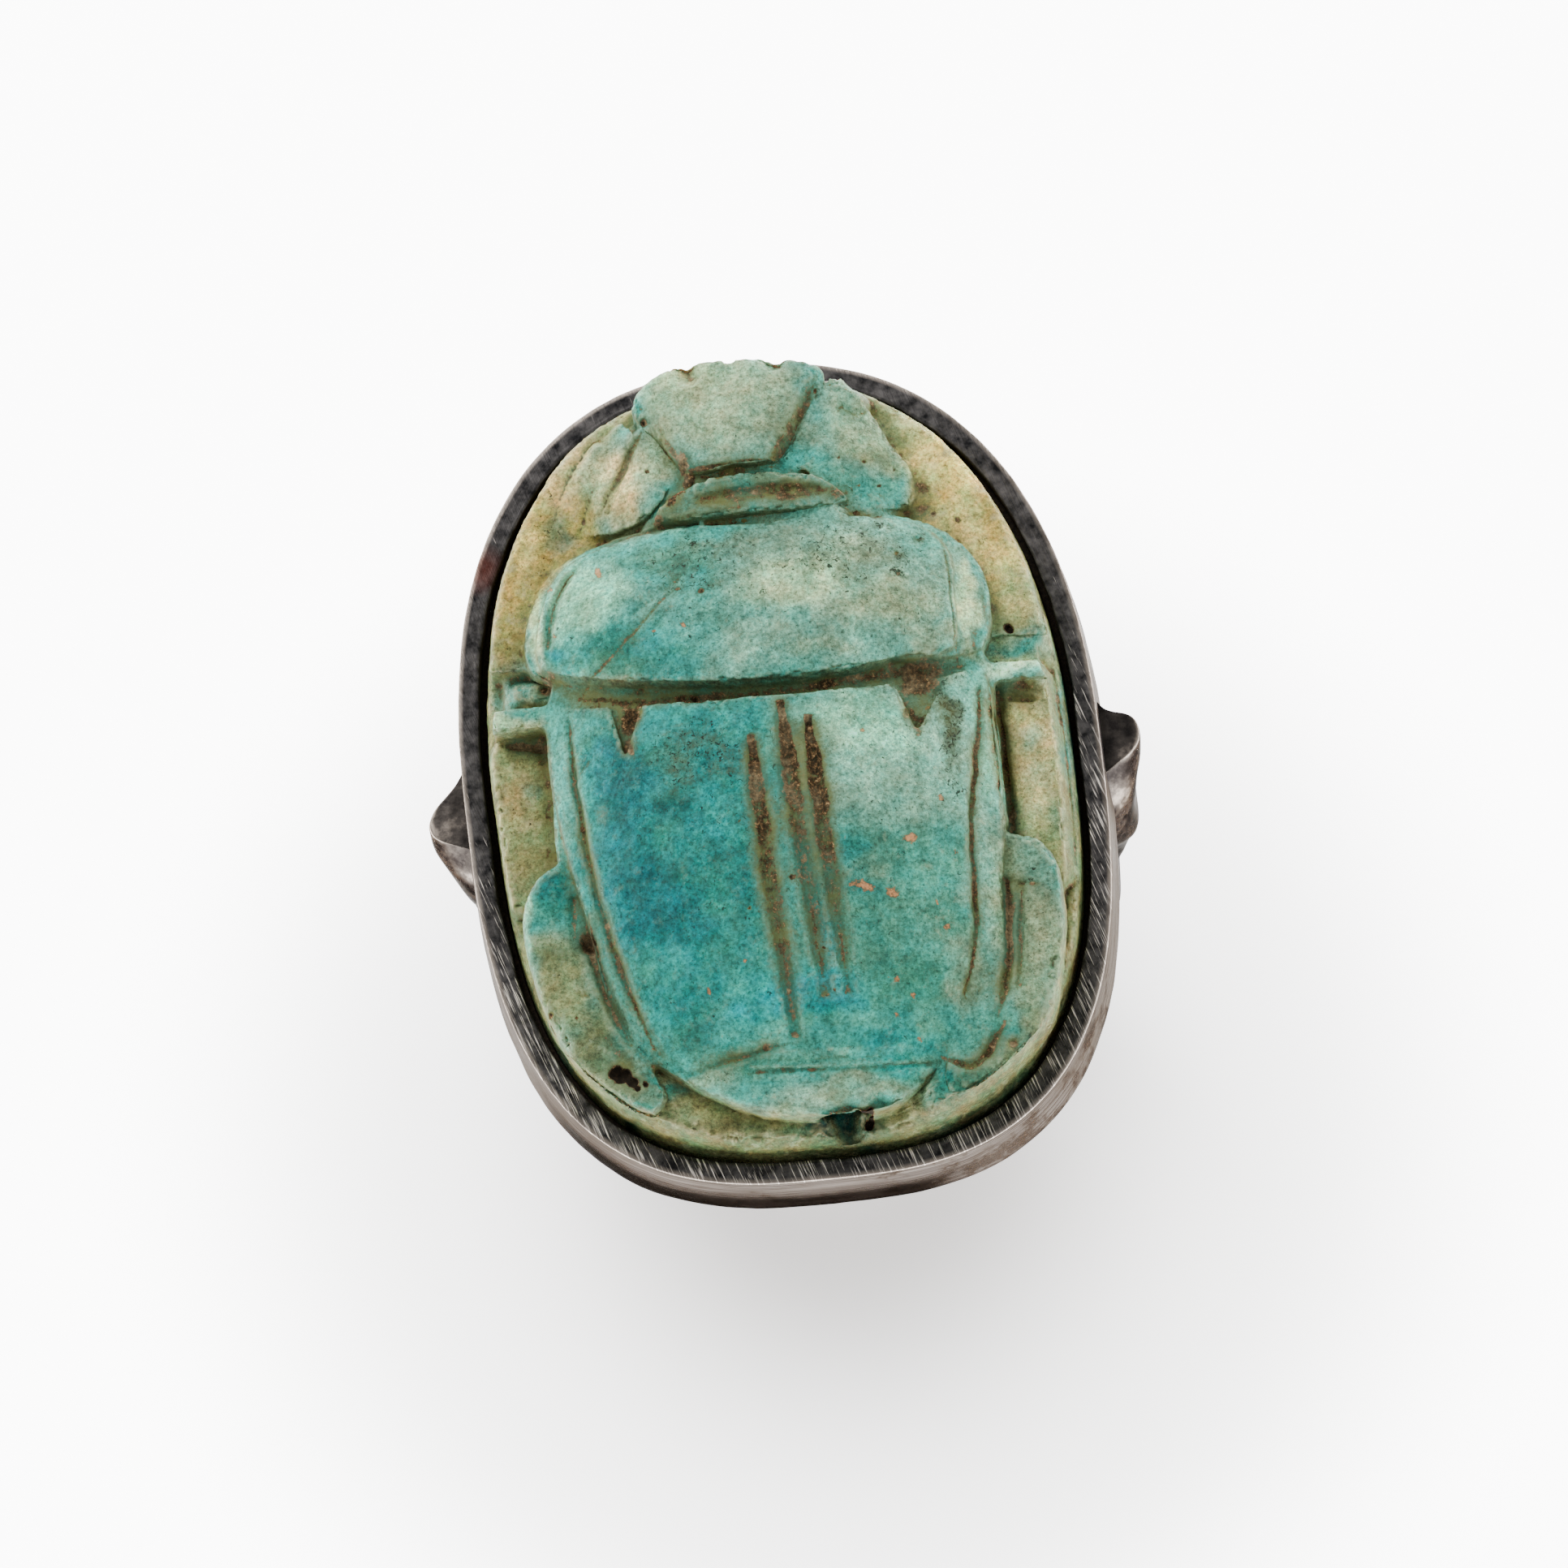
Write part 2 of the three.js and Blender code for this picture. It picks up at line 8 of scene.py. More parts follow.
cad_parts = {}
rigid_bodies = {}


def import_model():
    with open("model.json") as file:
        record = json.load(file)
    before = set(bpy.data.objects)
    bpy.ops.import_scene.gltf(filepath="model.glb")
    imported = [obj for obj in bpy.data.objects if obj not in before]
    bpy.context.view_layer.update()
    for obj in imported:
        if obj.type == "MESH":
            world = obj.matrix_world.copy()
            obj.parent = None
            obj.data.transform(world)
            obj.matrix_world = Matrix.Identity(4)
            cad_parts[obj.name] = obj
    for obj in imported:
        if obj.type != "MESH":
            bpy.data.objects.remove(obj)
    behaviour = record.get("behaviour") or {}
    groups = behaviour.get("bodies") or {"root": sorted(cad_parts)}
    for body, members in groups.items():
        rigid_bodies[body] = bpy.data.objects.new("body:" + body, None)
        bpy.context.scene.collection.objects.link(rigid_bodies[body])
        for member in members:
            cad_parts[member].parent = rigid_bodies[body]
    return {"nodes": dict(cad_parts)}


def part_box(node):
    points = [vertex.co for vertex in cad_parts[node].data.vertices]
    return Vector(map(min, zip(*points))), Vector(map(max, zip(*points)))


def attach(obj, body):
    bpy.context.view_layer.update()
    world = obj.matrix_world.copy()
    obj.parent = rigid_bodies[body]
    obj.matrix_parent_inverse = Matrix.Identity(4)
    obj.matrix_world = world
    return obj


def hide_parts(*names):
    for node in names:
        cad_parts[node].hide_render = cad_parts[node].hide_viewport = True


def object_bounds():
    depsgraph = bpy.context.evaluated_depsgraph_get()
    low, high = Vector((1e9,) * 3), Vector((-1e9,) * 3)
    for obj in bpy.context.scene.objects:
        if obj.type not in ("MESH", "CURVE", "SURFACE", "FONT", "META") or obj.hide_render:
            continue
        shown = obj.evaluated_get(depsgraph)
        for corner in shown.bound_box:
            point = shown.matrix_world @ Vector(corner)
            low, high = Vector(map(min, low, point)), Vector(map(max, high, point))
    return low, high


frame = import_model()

# The looks of a silver ring whose box bezel holds a carved scarab of glazed steatite.
# Lengths in the tables are millimetres. X and Y are the ring's own; heights of the carving are
# above the bezel's rim, which lies RIM_HEIGHT above the middle of the finger hole.

cad_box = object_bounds()
MM = 0.001
RIM_HEIGHT = 10.5
WELD = 0.002            # points nearer than this are joined up

# Small helpers


def linear(hex_colour):
    """An sRGB hex colour as linear red, green, blue and alpha."""
    parts = [int(hex_colour[i:i + 2], 16) / 255 for i in (1, 3, 5)]
    return [p / 12.92 if p <= 0.04045 else ((p + 0.055) / 1.055) ** 2.4 for p in parts] + [1.0]


def add(tree, kind, sockets=None, **settings):
    """Adds a shader node. sockets maps an input's name or number to a value, to another node's
    output, or to the node itself, which then gives its first output that is in use. By number,
    a MapRange has its two ends before at 1 and 2 and after at 3 and 4, and a Mix has its share at
    0 and what it mixes at 4 and 5 (vectors) or 6 and 7 (colours)."""
    made = tree.nodes.new("ShaderNode" + kind)
    for name, value in settings.items():
        setattr(made, name, value)
    for key, value in (sockets or {}).items():
        if isinstance(value, bpy.types.Node):
            value = next(output for output in value.outputs if output.enabled)
        if isinstance(value, bpy.types.NodeSocket):
            tree.links.new(value, made.inputs[key])
        else:
            made.inputs[key].default_value = value
    return made


def new_material(name):
    """A material with an empty node tree."""
    material = bpy.data.materials.new(name)
    material.use_nodes = True
    material.node_tree.nodes.clear()
    return material


def smoothstep(value, low, high):
    """0 below low, 1 above high, and an S curve between."""
    share = np.clip((value - low) / (high - low), 0, 1)
    return share * share * (3 - 2 * share)


def deselect_all():
    for each in bpy.data.objects:
        each.select_set(False)


def make_active(piece):
    deselect_all()
    piece.select_set(True)
    bpy.context.view_layer.objects.active = piece


def edit(piece):
    make_active(piece)
    bpy.ops.object.mode_set(mode="EDIT")


def leave_edit():
    bpy.ops.object.mode_set(mode="OBJECT")


def face_outwards(piece):
    edit(piece)
    bpy.ops.mesh.select_all(action="SELECT")
    bpy.ops.mesh.normals_make_consistent(inside=False)
    leave_edit()


def settle(piece):
    """Puts the piece's place into its mesh."""
    make_active(piece)
    bpy.ops.object.transform_apply(location=True, rotation=True, scale=True)


def apply_modifier(piece, kind, **settings):
    """Puts a modifier on the piece and applies it."""
    make_active(piece)
    modifier = piece.modifiers.new(kind.lower(), kind)
    for name, value in settings.items():
        setattr(modifier, name, value)
    bpy.ops.object.modifier_apply(modifier=modifier.name)


def merged_copy(node, name):
    """A new piece that starts as the CAD node's shape, with its loose triangles joined up."""
    piece = bpy.data.objects.new(name, frame["nodes"][node].data.copy())
    bpy.context.scene.collection.objects.link(piece)
    piece.data.materials.clear()
    edit(piece)
    bpy.ops.mesh.select_all(action="SELECT")
    bpy.ops.mesh.remove_doubles(threshold=WELD * MM)
    leave_edit()
    return piece


def places(piece):
    """The piece's points in millimetres, heights counted from the rim."""
    flat = np.empty(len(piece.data.vertices) * 3, np.float32)
    piece.data.vertices.foreach_get("co", flat)
    spots = flat.reshape(-1, 3).astype(float) / MM
    spots[:, 2] -= RIM_HEIGHT
    return spots


def put_back(piece, spots):
    """Sets the piece's points, given as places() gives them."""
    moved = spots.copy()
    moved[:, 2] += RIM_HEIGHT
    piece.data.vertices.foreach_set("co", (moved * MM).astype(np.float32).ravel())
    piece.data.update()


def facing(piece):
    """The direction that each point of the piece looks in."""
    flat = np.empty(len(piece.data.vertices) * 3, np.float32)
    piece.data.vertices.foreach_get("normal", flat)
    return flat.reshape(-1, 3).astype(float)


def keep_inside(spots, node):
    """Holds the points in the CAD node's own box."""
    low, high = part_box(node)
    floor = np.array(low) / MM - (0, 0, RIM_HEIGHT)
    roof = np.array(high) / MM - (0, 0, RIM_HEIGHT)
    return np.clip(spots, floor, roof)


def store(piece, name, values):
    """Keeps one number (or one colour) per point on the piece, for its material to read."""
    kind, field = ("FLOAT", "value") if values.ndim == 1 else ("FLOAT_COLOR", "color")
    layer = piece.data.attributes.new(name, kind, "POINT")
    layer.data.foreach_set(field, values.astype(np.float32).ravel())


def rough(spots, size, seed, octaves=3):
    """Smooth random heights from -1 to 1, in lumps of about the given size."""
    shift = Vector((seed * 7.3, seed * 3.1, seed * 5.7))
    return np.array([noise.fractal(Vector(s) / size + shift, 0.9, 2.0, octaves) for s in spots])


# Camera, light and floor

EYE_DISTANCE = 394.8    # to the rim's middle
EYE_HEIGHT_ANGLE = 72   # degrees, as are the next two
EYE_SIDE_ANGLE = 8
EYE_ROLL = -5
SIDE_STEP = 0.0667      # the ring stands this far left of the picture's middle
DOWN_STEP = 0.4575      # and this far above it
SENSOR = 36.0
PIXELS = 1932
PIXELS_PER_MM = 41.968  # at the rim

WORLD_STRENGTH = 0.62
# name, place, the place that it looks at, width across and watts
LIGHTS = [
    ("key", (-140, 260, 272), (0, 0, 8), 190, 1.35),
    ("side_fill", (260, -40, 200), (0, 0, 8), 160, 0.25),
]
# The floor glows, and glows less near the ring's foot, as a painted shadow: from and to (metres), and
# how much
PAINTED_SHADOW_MIDDLE = (0, -0.005, 0)
FLOOR_GLOW_AND_PAINTED_SHADOW = [(0.003, 0.015, 0.25, 4.0), (0.013, 0.024, 0.0, 6.0)]


def set_camera():
    rise, turn = math.radians(EYE_HEIGHT_ANGLE), math.radians(EYE_SIDE_ANGLE)
    back = Vector(
        (math.cos(rise) * math.sin(turn), -math.cos(rise) * math.cos(turn), math.sin(rise)))
    flat_right = Vector((0, 1, 0)).cross(back).normalized()
    flat_up = back.cross(flat_right)
    roll = math.radians(EYE_ROLL)
    right = math.cos(roll) * flat_right + math.sin(roll) * flat_up
    up = math.cos(roll) * flat_up - math.sin(roll) * flat_right
    eye = Vector((0, 0, RIM_HEIGHT)) + EYE_DISTANCE * back + SIDE_STEP * right - DOWN_STEP * up
    data = bpy.data.cameras.new("camera")
    data.sensor_width = SENSOR
    data.lens = PIXELS_PER_MM * EYE_DISTANCE * SENSOR / PIXELS
    data.clip_start = 0.01
    camera = bpy.data.objects.new("camera", data)
    bpy.context.scene.collection.objects.link(camera)
    camera.location = eye * MM
    turned = [[right[i], up[i], back[i]] for i in range(3)]
    camera.rotation_euler = Matrix(turned).to_euler()
    bpy.context.scene.camera = camera


def soft_light(name, place, target, size, power):
    data = bpy.data.lights.new(name, "AREA")
    data.shape = "DISK"
    data.size = size * MM
    data.energy = power
    light = bpy.data.objects.new(name, data)
    bpy.context.scene.collection.objects.link(light)
    light.location = Vector(place) * MM
    light.rotation_euler = (Vector(place) - Vector(target)).to_track_quat("Z", "Y").to_euler()


def set_light():
    world = bpy.data.worlds.new("studio")
    world.use_nodes = True
    background = world.node_tree.nodes["Background"]
    background.inputs["Color"].default_value = linear("#ffffff")
    background.inputs["Strength"].default_value = WORLD_STRENGTH
    bpy.context.scene.world = world
    for light in LIGHTS:
        soft_light(*light)


def set_floor():
    """White acrylic that glows, with a painted shadow: the glow is less near the ring."""
    bpy.ops.mesh.primitive_plane_add(size=4, location=(0, 0, cad_box[0].z))
    floor = bpy.context.object
    floor.name = "floor"
    acrylic = new_material("glowing_acrylic_with_painted_shadow")
    tree = acrylic.node_tree
    spot = add(tree, "TexCoord").outputs["Object"]
    # painted shadow: the glow is dimmed round the ring's foot
    from_painted_shadow = add(tree, "VectorMath", {0: spot, 1: PAINTED_SHADOW_MIDDLE}, operation="DISTANCE")
    near, far = (
        add(tree, "MapRange", {0: from_painted_shadow, 1: start, 2: end, 3: least, 4: most},
            interpolation_type="SMOOTHSTEP")
        for start, end, least, most in FLOOR_GLOW_AND_PAINTED_SHADOW)
    glow_and_painted_shadow = add(tree, "Math", {0: near, 1: far}, operation="ADD")
    surface = add(tree, "BsdfPrincipled", {
        "Base Color": linear("#f7f6f5"), "Roughness": 0.5,
        "Emission Color": linear("#ffffff"), "Emission Strength": glow_and_painted_shadow,
    })
    add(tree, "OutputMaterial", {"Surface": surface})
    floor.data.materials.append(acrylic)


# The carved scarab

GRAIN = 0.075           # distance between the points of the carving
HIDDEN_BELOW = -0.55    # the stone is covered by its filling from here down
HIDDEN_SHARE = 0.06     # of the hidden faces that are kept
SEEN_SHARE = 0.66       # of all faces that are kept after the carving, fewest where it is flat
CLYPEUS_JUT = 0.33      # how far the front edge of the head was drawn out to the rim
UNEVENNESS = (0.06, 0.035, 0.014)   # depth of the hand-cut waves, lumps and grit
EDGE_LOSS = 0.2         # the most that has worn off an edge
HALO_ROUNDS = 16
TINT_UNDER = "#4f9c8a"  # the glaze and the bare ledges before any dab
LEDGE_UNDER = "#86905c"
PAINTED_FLANK_SHADE = 0.8       # painted shade: the upright sides are darkened towards olive
PAINTED_FLANK_COLOUR = "#484d2c"
BASE_OVAL = (8.7, 12.1, 2.8)        # half-width, half-length and squareness of the stone's base
THREAD_HOLE = (0.3, 1.05, 0.85)     # middle of the thread's hole in x and height, and its reach

# Stone left standing: points, width, height at the start and at the end, and the side's slope
FILLS = [
    ([(-7.75, 0.8), (-7.75, -3.2)], 1.5, 1.08, 1.05, 7.0),
    ([(7.4, 1.5), (7.5, -0.6), (7.5, -4.2)], 1.4, 1.4, 1.32, 7.0),
    # the left leg runs out into the ledge below the tail
    ([(-6.45, -7.7), (-5.8, -8.9), (-4.9, -9.9), (-3.8, -10.4), (-2.4, -10.9)], 1.5, 1.98, 1.15, 5.0),
    ([(-3.4, -10.95), (-1.6, -11.3), (0.2, -11.4), (2.0, -11.3), (3.8, -11.0)], 0.9, 1.1, 0.95, 7.0),
    ([(6.5, -8.6), (6.0, -9.5), (5.35, -10.15), (4.5, -10.8), (4.0, -11.0)], 1.3, 1.98, 1.85, 9.0),
    ([(-4.4, 9.6), (-5.2, 8.6), (-5.6, 7.6)], 0.7, 1.9, 1.7, 2.0),
    # the head runs into the pronotum, and two hollows beside it are shallow
    ([(-0.4, 6.75), (1.0, 6.75), (2.4, 6.65)], 0.5, 3.0, 3.15, 3.0),
    ([(2.4, 7.45), (3.4, 7.0)], 0.7, 2.75, 2.5, 1.5),
    ([(-1.75, 8.3), (-0.6, 8.25), (0.8, 8.2)], 0.5, 2.95, 3.02, 2.0),
    ([(-1.8, 8.35), (-2.5, 7.6), (-3.1, 6.9)], 0.45, 2.75, 2.45, 2.5),
    # the tail's right corner runs out into the leg, then the right panel, its bar and what lies
    # before it, and the ledge before the left bar
    ([(4.1, -9.75), (3.7, -10.2), (3.2, -10.95)], 0.8, 1.85, 1.3, 3.0),
    ([(6.62, 1.2), (6.6, -0.9), (6.7, -2.9)], 0.5, 1.2, 1.1, 6.0),
    ([(6.2, 1.55), (7.1, 1.62), (7.75, 1.6)], 0.5, 1.85, 1.65, 7.0),
    ([(6.3, 2.3), (7.5, 2.35)], 0.7, 1.5, 1.35, 3.0),
    ([(6.6, 2.9), (7.7, 2.95)], 0.9, 1.45, 1.5, 1.5),
    ([(-7.4, 2.75), (-6.4, 2.5)], 0.5, 1.3, 1.7, 2.0),
]

# Stone cut to one level: points, width, the height at the start and at the end, soft edge
LEVELS = [
    ([(2.62, 10.75), (2.15, 10.0), (1.8, 9.35), (1.45, 8.8), (1.1, 8.45)], 0.62, 2.62, 2.75, 0.18),
    ([(2.5, 10.75), (3.2, 10.35)], 0.5, 2.6, 2.45, 0.2),
    ([(-3.2, 9.75), (-2.8, 9.0), (-2.35, 8.35)], 0.6, 2.3, 2.52, 0.15),
    # the low base outside the right leg, and where the base has lost its edge on the left
    ([(8.25, -5.0), (8.15, -6.2), (7.97, -7.2), (7.7, -8.0), (7.62, -8.5), (7.15, -9.35),
      (6.85, -9.95)], 0.34, 0.75, 0.75, 0.1),
    ([(-7.6, -7.6), (-7.15, -8.5), (-6.8, -9.25), (-6.4, -9.95), (-5.8, -10.6)], 0.4, 0.1, 0.1, 0.1),
]

# Lines cut into the stone: points, width, depth, then the soil at the start and at the end
CUT_LINES = [
    # three lines down the wing cases
    ([(-0.6, -0.3), (-0.57, -1.1), (-0.53, -2.6), (-0.42, -5.0), (-0.2, -7.4), (-0.1, -9.1)],
     0.66, 0.12, 0.95, 0.3),
    ([(0.33, 0.65), (0.38, -0.6), (0.5, -2.6), (0.66, -5.2), (0.86, -8.0)], 0.7, 0.13, 1.05, 0.2),
    ([(1.07, 0.1), (1.13, -1.2), (1.25, -3.2), (1.38, -5.4), (1.53, -8.0)], 0.68, 0.12, 1.1, 0.15),
    # borders of the wing cases
    ([(-5.98, 1.5), (-5.96, 0.2), (-5.93, -0.9), (-5.76, -2.7), (-5.44, -4.8), (-4.87, -7.2),
      (-4.3, -8.8)], 0.26, 0.13, 0.3, 0.7),
    ([(6.08, 1.0), (5.9, -0.6), (5.6, -2.3), (5.42, -3.6), (5.39, -5.1), (5.27, -6.7), (4.8, -8.1)],
     0.24, 0.12, 0.75, 0.75),
    # cracks and scratches
    ([(-5.7, 1.9), (-4.8, 2.6), (-4.0, 3.3), (-2.9, 4.3), (-2.1, 4.9)], 0.14, 0.05, 0.75, 0.4),
    ([(-5.9, -0.7), (-5.6, -0.3), (-5.3, 0.0)], 0.12, 0.04, 0.45, 0.2),
    ([(-1.8, 9.9), (-1.3, 9.5), (-0.8, 9.3)], 0.12, 0.03, 0.4, 0.2),
    # tail lines
    ([(-3.3, -9.55), (-2.3, -9.5), (-1.2, -9.35), (-0.4, -9.25)], 0.38, 0.07, 0.25, 0.45),
    ([(-1.9, -9.6), (0.1, -9.72), (2.2, -9.8), (4.0, -9.7)], 0.42, 0.09, 0.0, 0.15),
    # between pronotum and wing cases
    ([(-5.6, 1.95), (-4.0, 1.45), (-2.2, 1.35), (0.0, 1.15), (2.0, 1.4), (3.6, 1.6), (5.6, 1.75)],
     0.4, 0.1, 0.8, 0.62),
    # inner line of the pronotum's right border, and the groove inside its left one
    ([(5.35, 5.9), (5.5, 4.6), (5.5, 3.0), (5.48, 1.9)], 0.12, 0.06, 0.5, 0.6),
    ([(-5.2, 6.1), (-5.85, 5.4), (-6.3, 4.4), (-6.5, 3.1)], 0.36, 0.17, 0.25, 0.3),
    # front edge of the pronotum, where a lip has chipped
    ([(-4.6, 6.6), (-3.6, 6.8), (-2.4, 6.95), (-1.2, 6.95)], 0.2, 0.08, 0.5, 0.5),
    # sides of the clypeus and its foot
    ([(-3.35, 10.75), (-2.88, 10.1), (-2.4, 9.3), (-1.95, 8.6)], 0.3, 0.12, 0.0, 0.9),
    # notches in the front edge of the clypeus
    ([(-2.0, 12.4), (-1.75, 11.7), (-1.55, 11.0), (-1.4, 10.7)], 0.9, 0.3, 0.05, 0.15),
    ([(1.1, 12.2), (0.98, 11.6), (0.9, 10.9)], 0.7, 0.2, 0.0, 0.1),
    ([(-1.9, 8.35), (-1.2, 8.4), (-0.4, 8.42), (0.6, 8.4)], 0.3, 0.07, 0.95, 0.45),
    ([(0.63, 8.41), (0.96, 8.9), (1.33, 9.43), (1.7, 10.09), (2.12, 10.7)], 0.4, 0.2, 0.75, 0.3),
    # hollow of the head
    ([(-1.6, 7.35), (-0.4, 7.45), (1.0, 7.45), (2.3, 7.3)], 0.6, 0.1, 0.55, 0.65),
    # cheeks
    ([(-3.1, 10.0), (-3.55, 9.35), (-4.2, 8.45), (-4.6, 7.7)], 0.3, 0.12, 0.6, 0.35),
    # legs
    ([(6.35, -4.75), (6.35, -6.0), (6.1, -7.6), (5.7, -8.8)], 0.36, 0.16, 1.1, 0.5),
    ([(6.75, -5.0), (6.6, -6.6), (6.35, -8.1)], 0.22, 0.1, 0.6, 0.5),
    ([(4.0, -9.85), (4.5, -10.15), (4.95, -10.25), (5.4, -9.8), (5.9, -9.0)], 0.3, 0.14, 0.6, 0.8),
    ([(-5.95, -4.9), (-5.85, -5.6), (-5.6, -6.9), (-5.0, -8.6)], 0.44, 0.18, 0.95, 0.1),
    ([(6.15, -4.7), (6.7, -4.8), (7.35, -4.95)], 0.24, 0.08, 0.5, 0.2),
    # inner groove of the right panel
    ([(6.42, 1.15), (6.42, -0.5), (6.5, -1.8), (6.62, -3.0)], 0.5, 0.16, 0.5, 0.6),
    ([(6.6, 1.0), (6.6, -0.5), (6.66, -2.0), (6.7, -3.0)], 0.14, 0.06, 0.8, 0.95),
    # under the middle bars
    ([(6.7, 1.02), (7.2, 0.98), (7.75, 0.92)], 0.3, 0.2, 0.7, 0.3),
    ([(-8.1, 1.2), (-7.4, 1.1), (-6.7, 0.95)], 0.34, 0.16, 0.85, 0.9),
]

# Small pits: x, y, radius, depth, soil
PITS = [
    (-5.5, -9.3, 0.22, 0.22, 3.4), (-5.25, -9.5, 0.26, 0.25, 3.6), (-5.0, -9.75, 0.2, 0.2, 3.4),
    (-4.62, -9.8, 0.11, 0.12, 3.0), (-4.9, -9.95, 0.12, 0.1, 3.0), (-7.27, -7.4, 0.14, 0.1, 1.2),
    (-6.47, -7.56, 0.07, 0.06, 1.4), (-3.05, 10.05, 0.12, 0.12, 1.5),
    (-3.12, 8.75, 0.09, 0.08, 1.3), (2.6, 8.47, 0.06, 0.04, 1.2), (3.29, 8.34, 0.08, 0.05, 1.1),
    (3.1, 7.61, 0.06, 0.04, 1.1), (3.68, 7.64, 0.07, 0.05, 1.2), (4.17, 8.17, 0.07, 0.05, 1.1),
    (2.07, 10.37, 0.07, 0.05, 1.2), (4.0, 6.11, 0.16, 0.06, 0.3), (4.55, 5.6, 0.18, 0.07, 0.3),
    (4.01, 5.2, 0.1, 0.05, 0.3), (4.02, 4.45, 0.12, 0.06, 0.5), (-2.23, 1.4, 0.14, 0.16, 1.3),
    (-6.7, 2.7, 0.2, 0.15, 0.8), (7.08, 3.05, 0.16, 0.2, 2.2), (5.15, 6.8, 0.12, 0.1, 1.3),
    (5.85, 6.55, 0.12, 0.08, 1.0), (-5.98, -5.4, 0.3, 0.3, 1.2), (6.16, -9.69, 0.2, 0.08, 0.9),
    (-1.05, -9.3, 0.1, 0.07, 1.3), (-1.75, 4.4, 0.12, 0.06, 1.4), (-0.42, 11.6, 0.17, 0.12, 1.5),
    (0.2, -4.6, 0.12, 0.05, 1.4), (1.6, -11.32, 0.2, 0.3, 3.4), (1.75, -11.2, 0.12, 0.2, 3.0),
    (0.9, -11.35, 0.7, 0.22, 0.35), (2.0, -11.4, 0.8, 0.2, 0.3), (6.05, -7.1, 0.06, 0.05, 1.4),
    (-2.35, 4.6, 0.07, 0.04, 1.2), (0.9, -6.7, 0.06, 0.04, 1.2), (1.1, -7.9, 0.06, 0.04, 1.3),
    (-1.1, -5.4, 0.06, 0.04, 1.1), (-1.2, -2.8, 0.05, 0.03, 1.0), (6.55, 0.6, 0.06, 0.03, 1.2),
]

# Loose patches of soil: x, y, half-width, half-length, strength
SOIL_PATCHES = [
    (-4.15, 1.0, 0.42, 0.75, 1.0), (-4.25, 0.1, 0.22, 0.5, 1.0), (4.35, 1.2, 0.75, 0.5, 1.0),
    (3.95, 0.3, 0.2, 0.6, 0.7), (4.2, -0.3, 0.15, 0.35, 0.6), (4.5, 1.7, 0.9, 0.35, 0.9),
    (-7.3, 1.05, 0.85, 0.22, 0.9), (-6.9, 0.7, 0.4, 0.3, 0.7), (7.2, 1.25, 0.7, 0.16, 0.75),
    (-1.9, 8.2, 0.35, 0.35, 1.0), (-2.3, 7.8, 0.3, 0.25, 1.0), (-1.2, 8.1, 0.5, 0.14, 0.8),
    (1.3, 7.3, 0.9, 0.3, 0.75), (2.4, 7.1, 0.4, 0.15, 0.5), (-0.7, 7.1, 0.9, 0.12, 0.6),
    (-2.45, 7.55, 0.25, 0.35, 0.9), (-2.85, 7.05, 0.3, 0.3, 0.85), (-2.0, 8.7, 0.25, 0.4, 0.95),
    (2.5, 7.3, 0.5, 0.3, 0.7), (-3.6, 6.75, 0.7, 0.12, 0.7), (-4.3, 6.9, 0.4, 0.15, 0.7),
    (-2.6, 6.95, 0.6, 0.1, 0.5), (4.8, 7.0, 0.35, 0.3, 0.8), (4.9, 7.7, 0.28, 0.35, 0.75),
    (-6.0, -5.3, 0.35, 0.5, 0.8), (-6.9, -5.6, 0.5, 0.4, 0.4), (-3.1, 1.25, 0.5, 0.18, 0.6),
    (6.4, -5.4, 0.25, 0.6, 0.9), (6.6, -2.6, 0.2, 0.5, 0.8), (5.05, 0.3, 0.35, 1.0, 0.3),
    (-6.55, 2.6, 0.4, 0.25, 0.8), (-6.2, 2.0, 0.5, 0.2, 0.45), (6.1, 2.6, 0.15, 0.6, 0.5),
    (6.35, 3.6, 0.14, 0.6, 0.5), (0.2, -11.3, 0.3, 0.3, 0.2), (-5.95, 8.4, 0.2, 0.2, 0.3),
    (1.3, -11.6, 0.4, 0.12, 0.7), (-0.5, 11.7, 0.6, 0.2, 0.6), (-5.4, -9.0, 0.35, 0.2, 0.4),
    (-7.0, -2.3, 0.15, 0.3, 0.6), (-6.35, -1.5, 0.06, 0.5, 0.3),
]

# Hollows that were washed clean: x, y, half-width, half-length
WASHED = [(1.0, -11.0, 1.6, 0.9), (2.9, -10.1, 0.7, 0.8)]

# Chips that show the fired body under the glaze: x, y, half-width, half-length
CHIPS = [
    (3.03, -5.22, 0.24, 0.2), (4.5, -6.19, 0.17, 0.16), (4.31, -5.56, 0.06, 0.16),
    (2.91, -7.72, 0.12, 0.14), (3.4, -8.18, 0.13, 0.08), (3.38, -9.29, 0.12, 0.08),
    (-4.73, 5.62, 0.11, 0.24), (-6.25, 5.51, 0.2, 0.12), (-6.13, 3.86, 0.12, 0.13),
    (-1.4, -6.9, 0.12, 0.07), (-2.3, 3.5, 0.13, 0.12), (-3.2, 3.4, 0.1, 0.08),
    (2.8, -8.72, 0.16, 0.1), (4.7, -2.5, 0.13, 0.12), (3.7, -3.7, 0.3, 0.2), (4.9, -4.1, 0.1, 0.12),
    (2.6, -0.35, 0.1, 0.1), (2.2, -5.0, 0.5, 0.2), (-2.3, -3.5, 0.1, 0.1), (-2.5, -7.6, 0.1, 0.14),
    (4.5, 0.35, 0.14, 0.12),
]

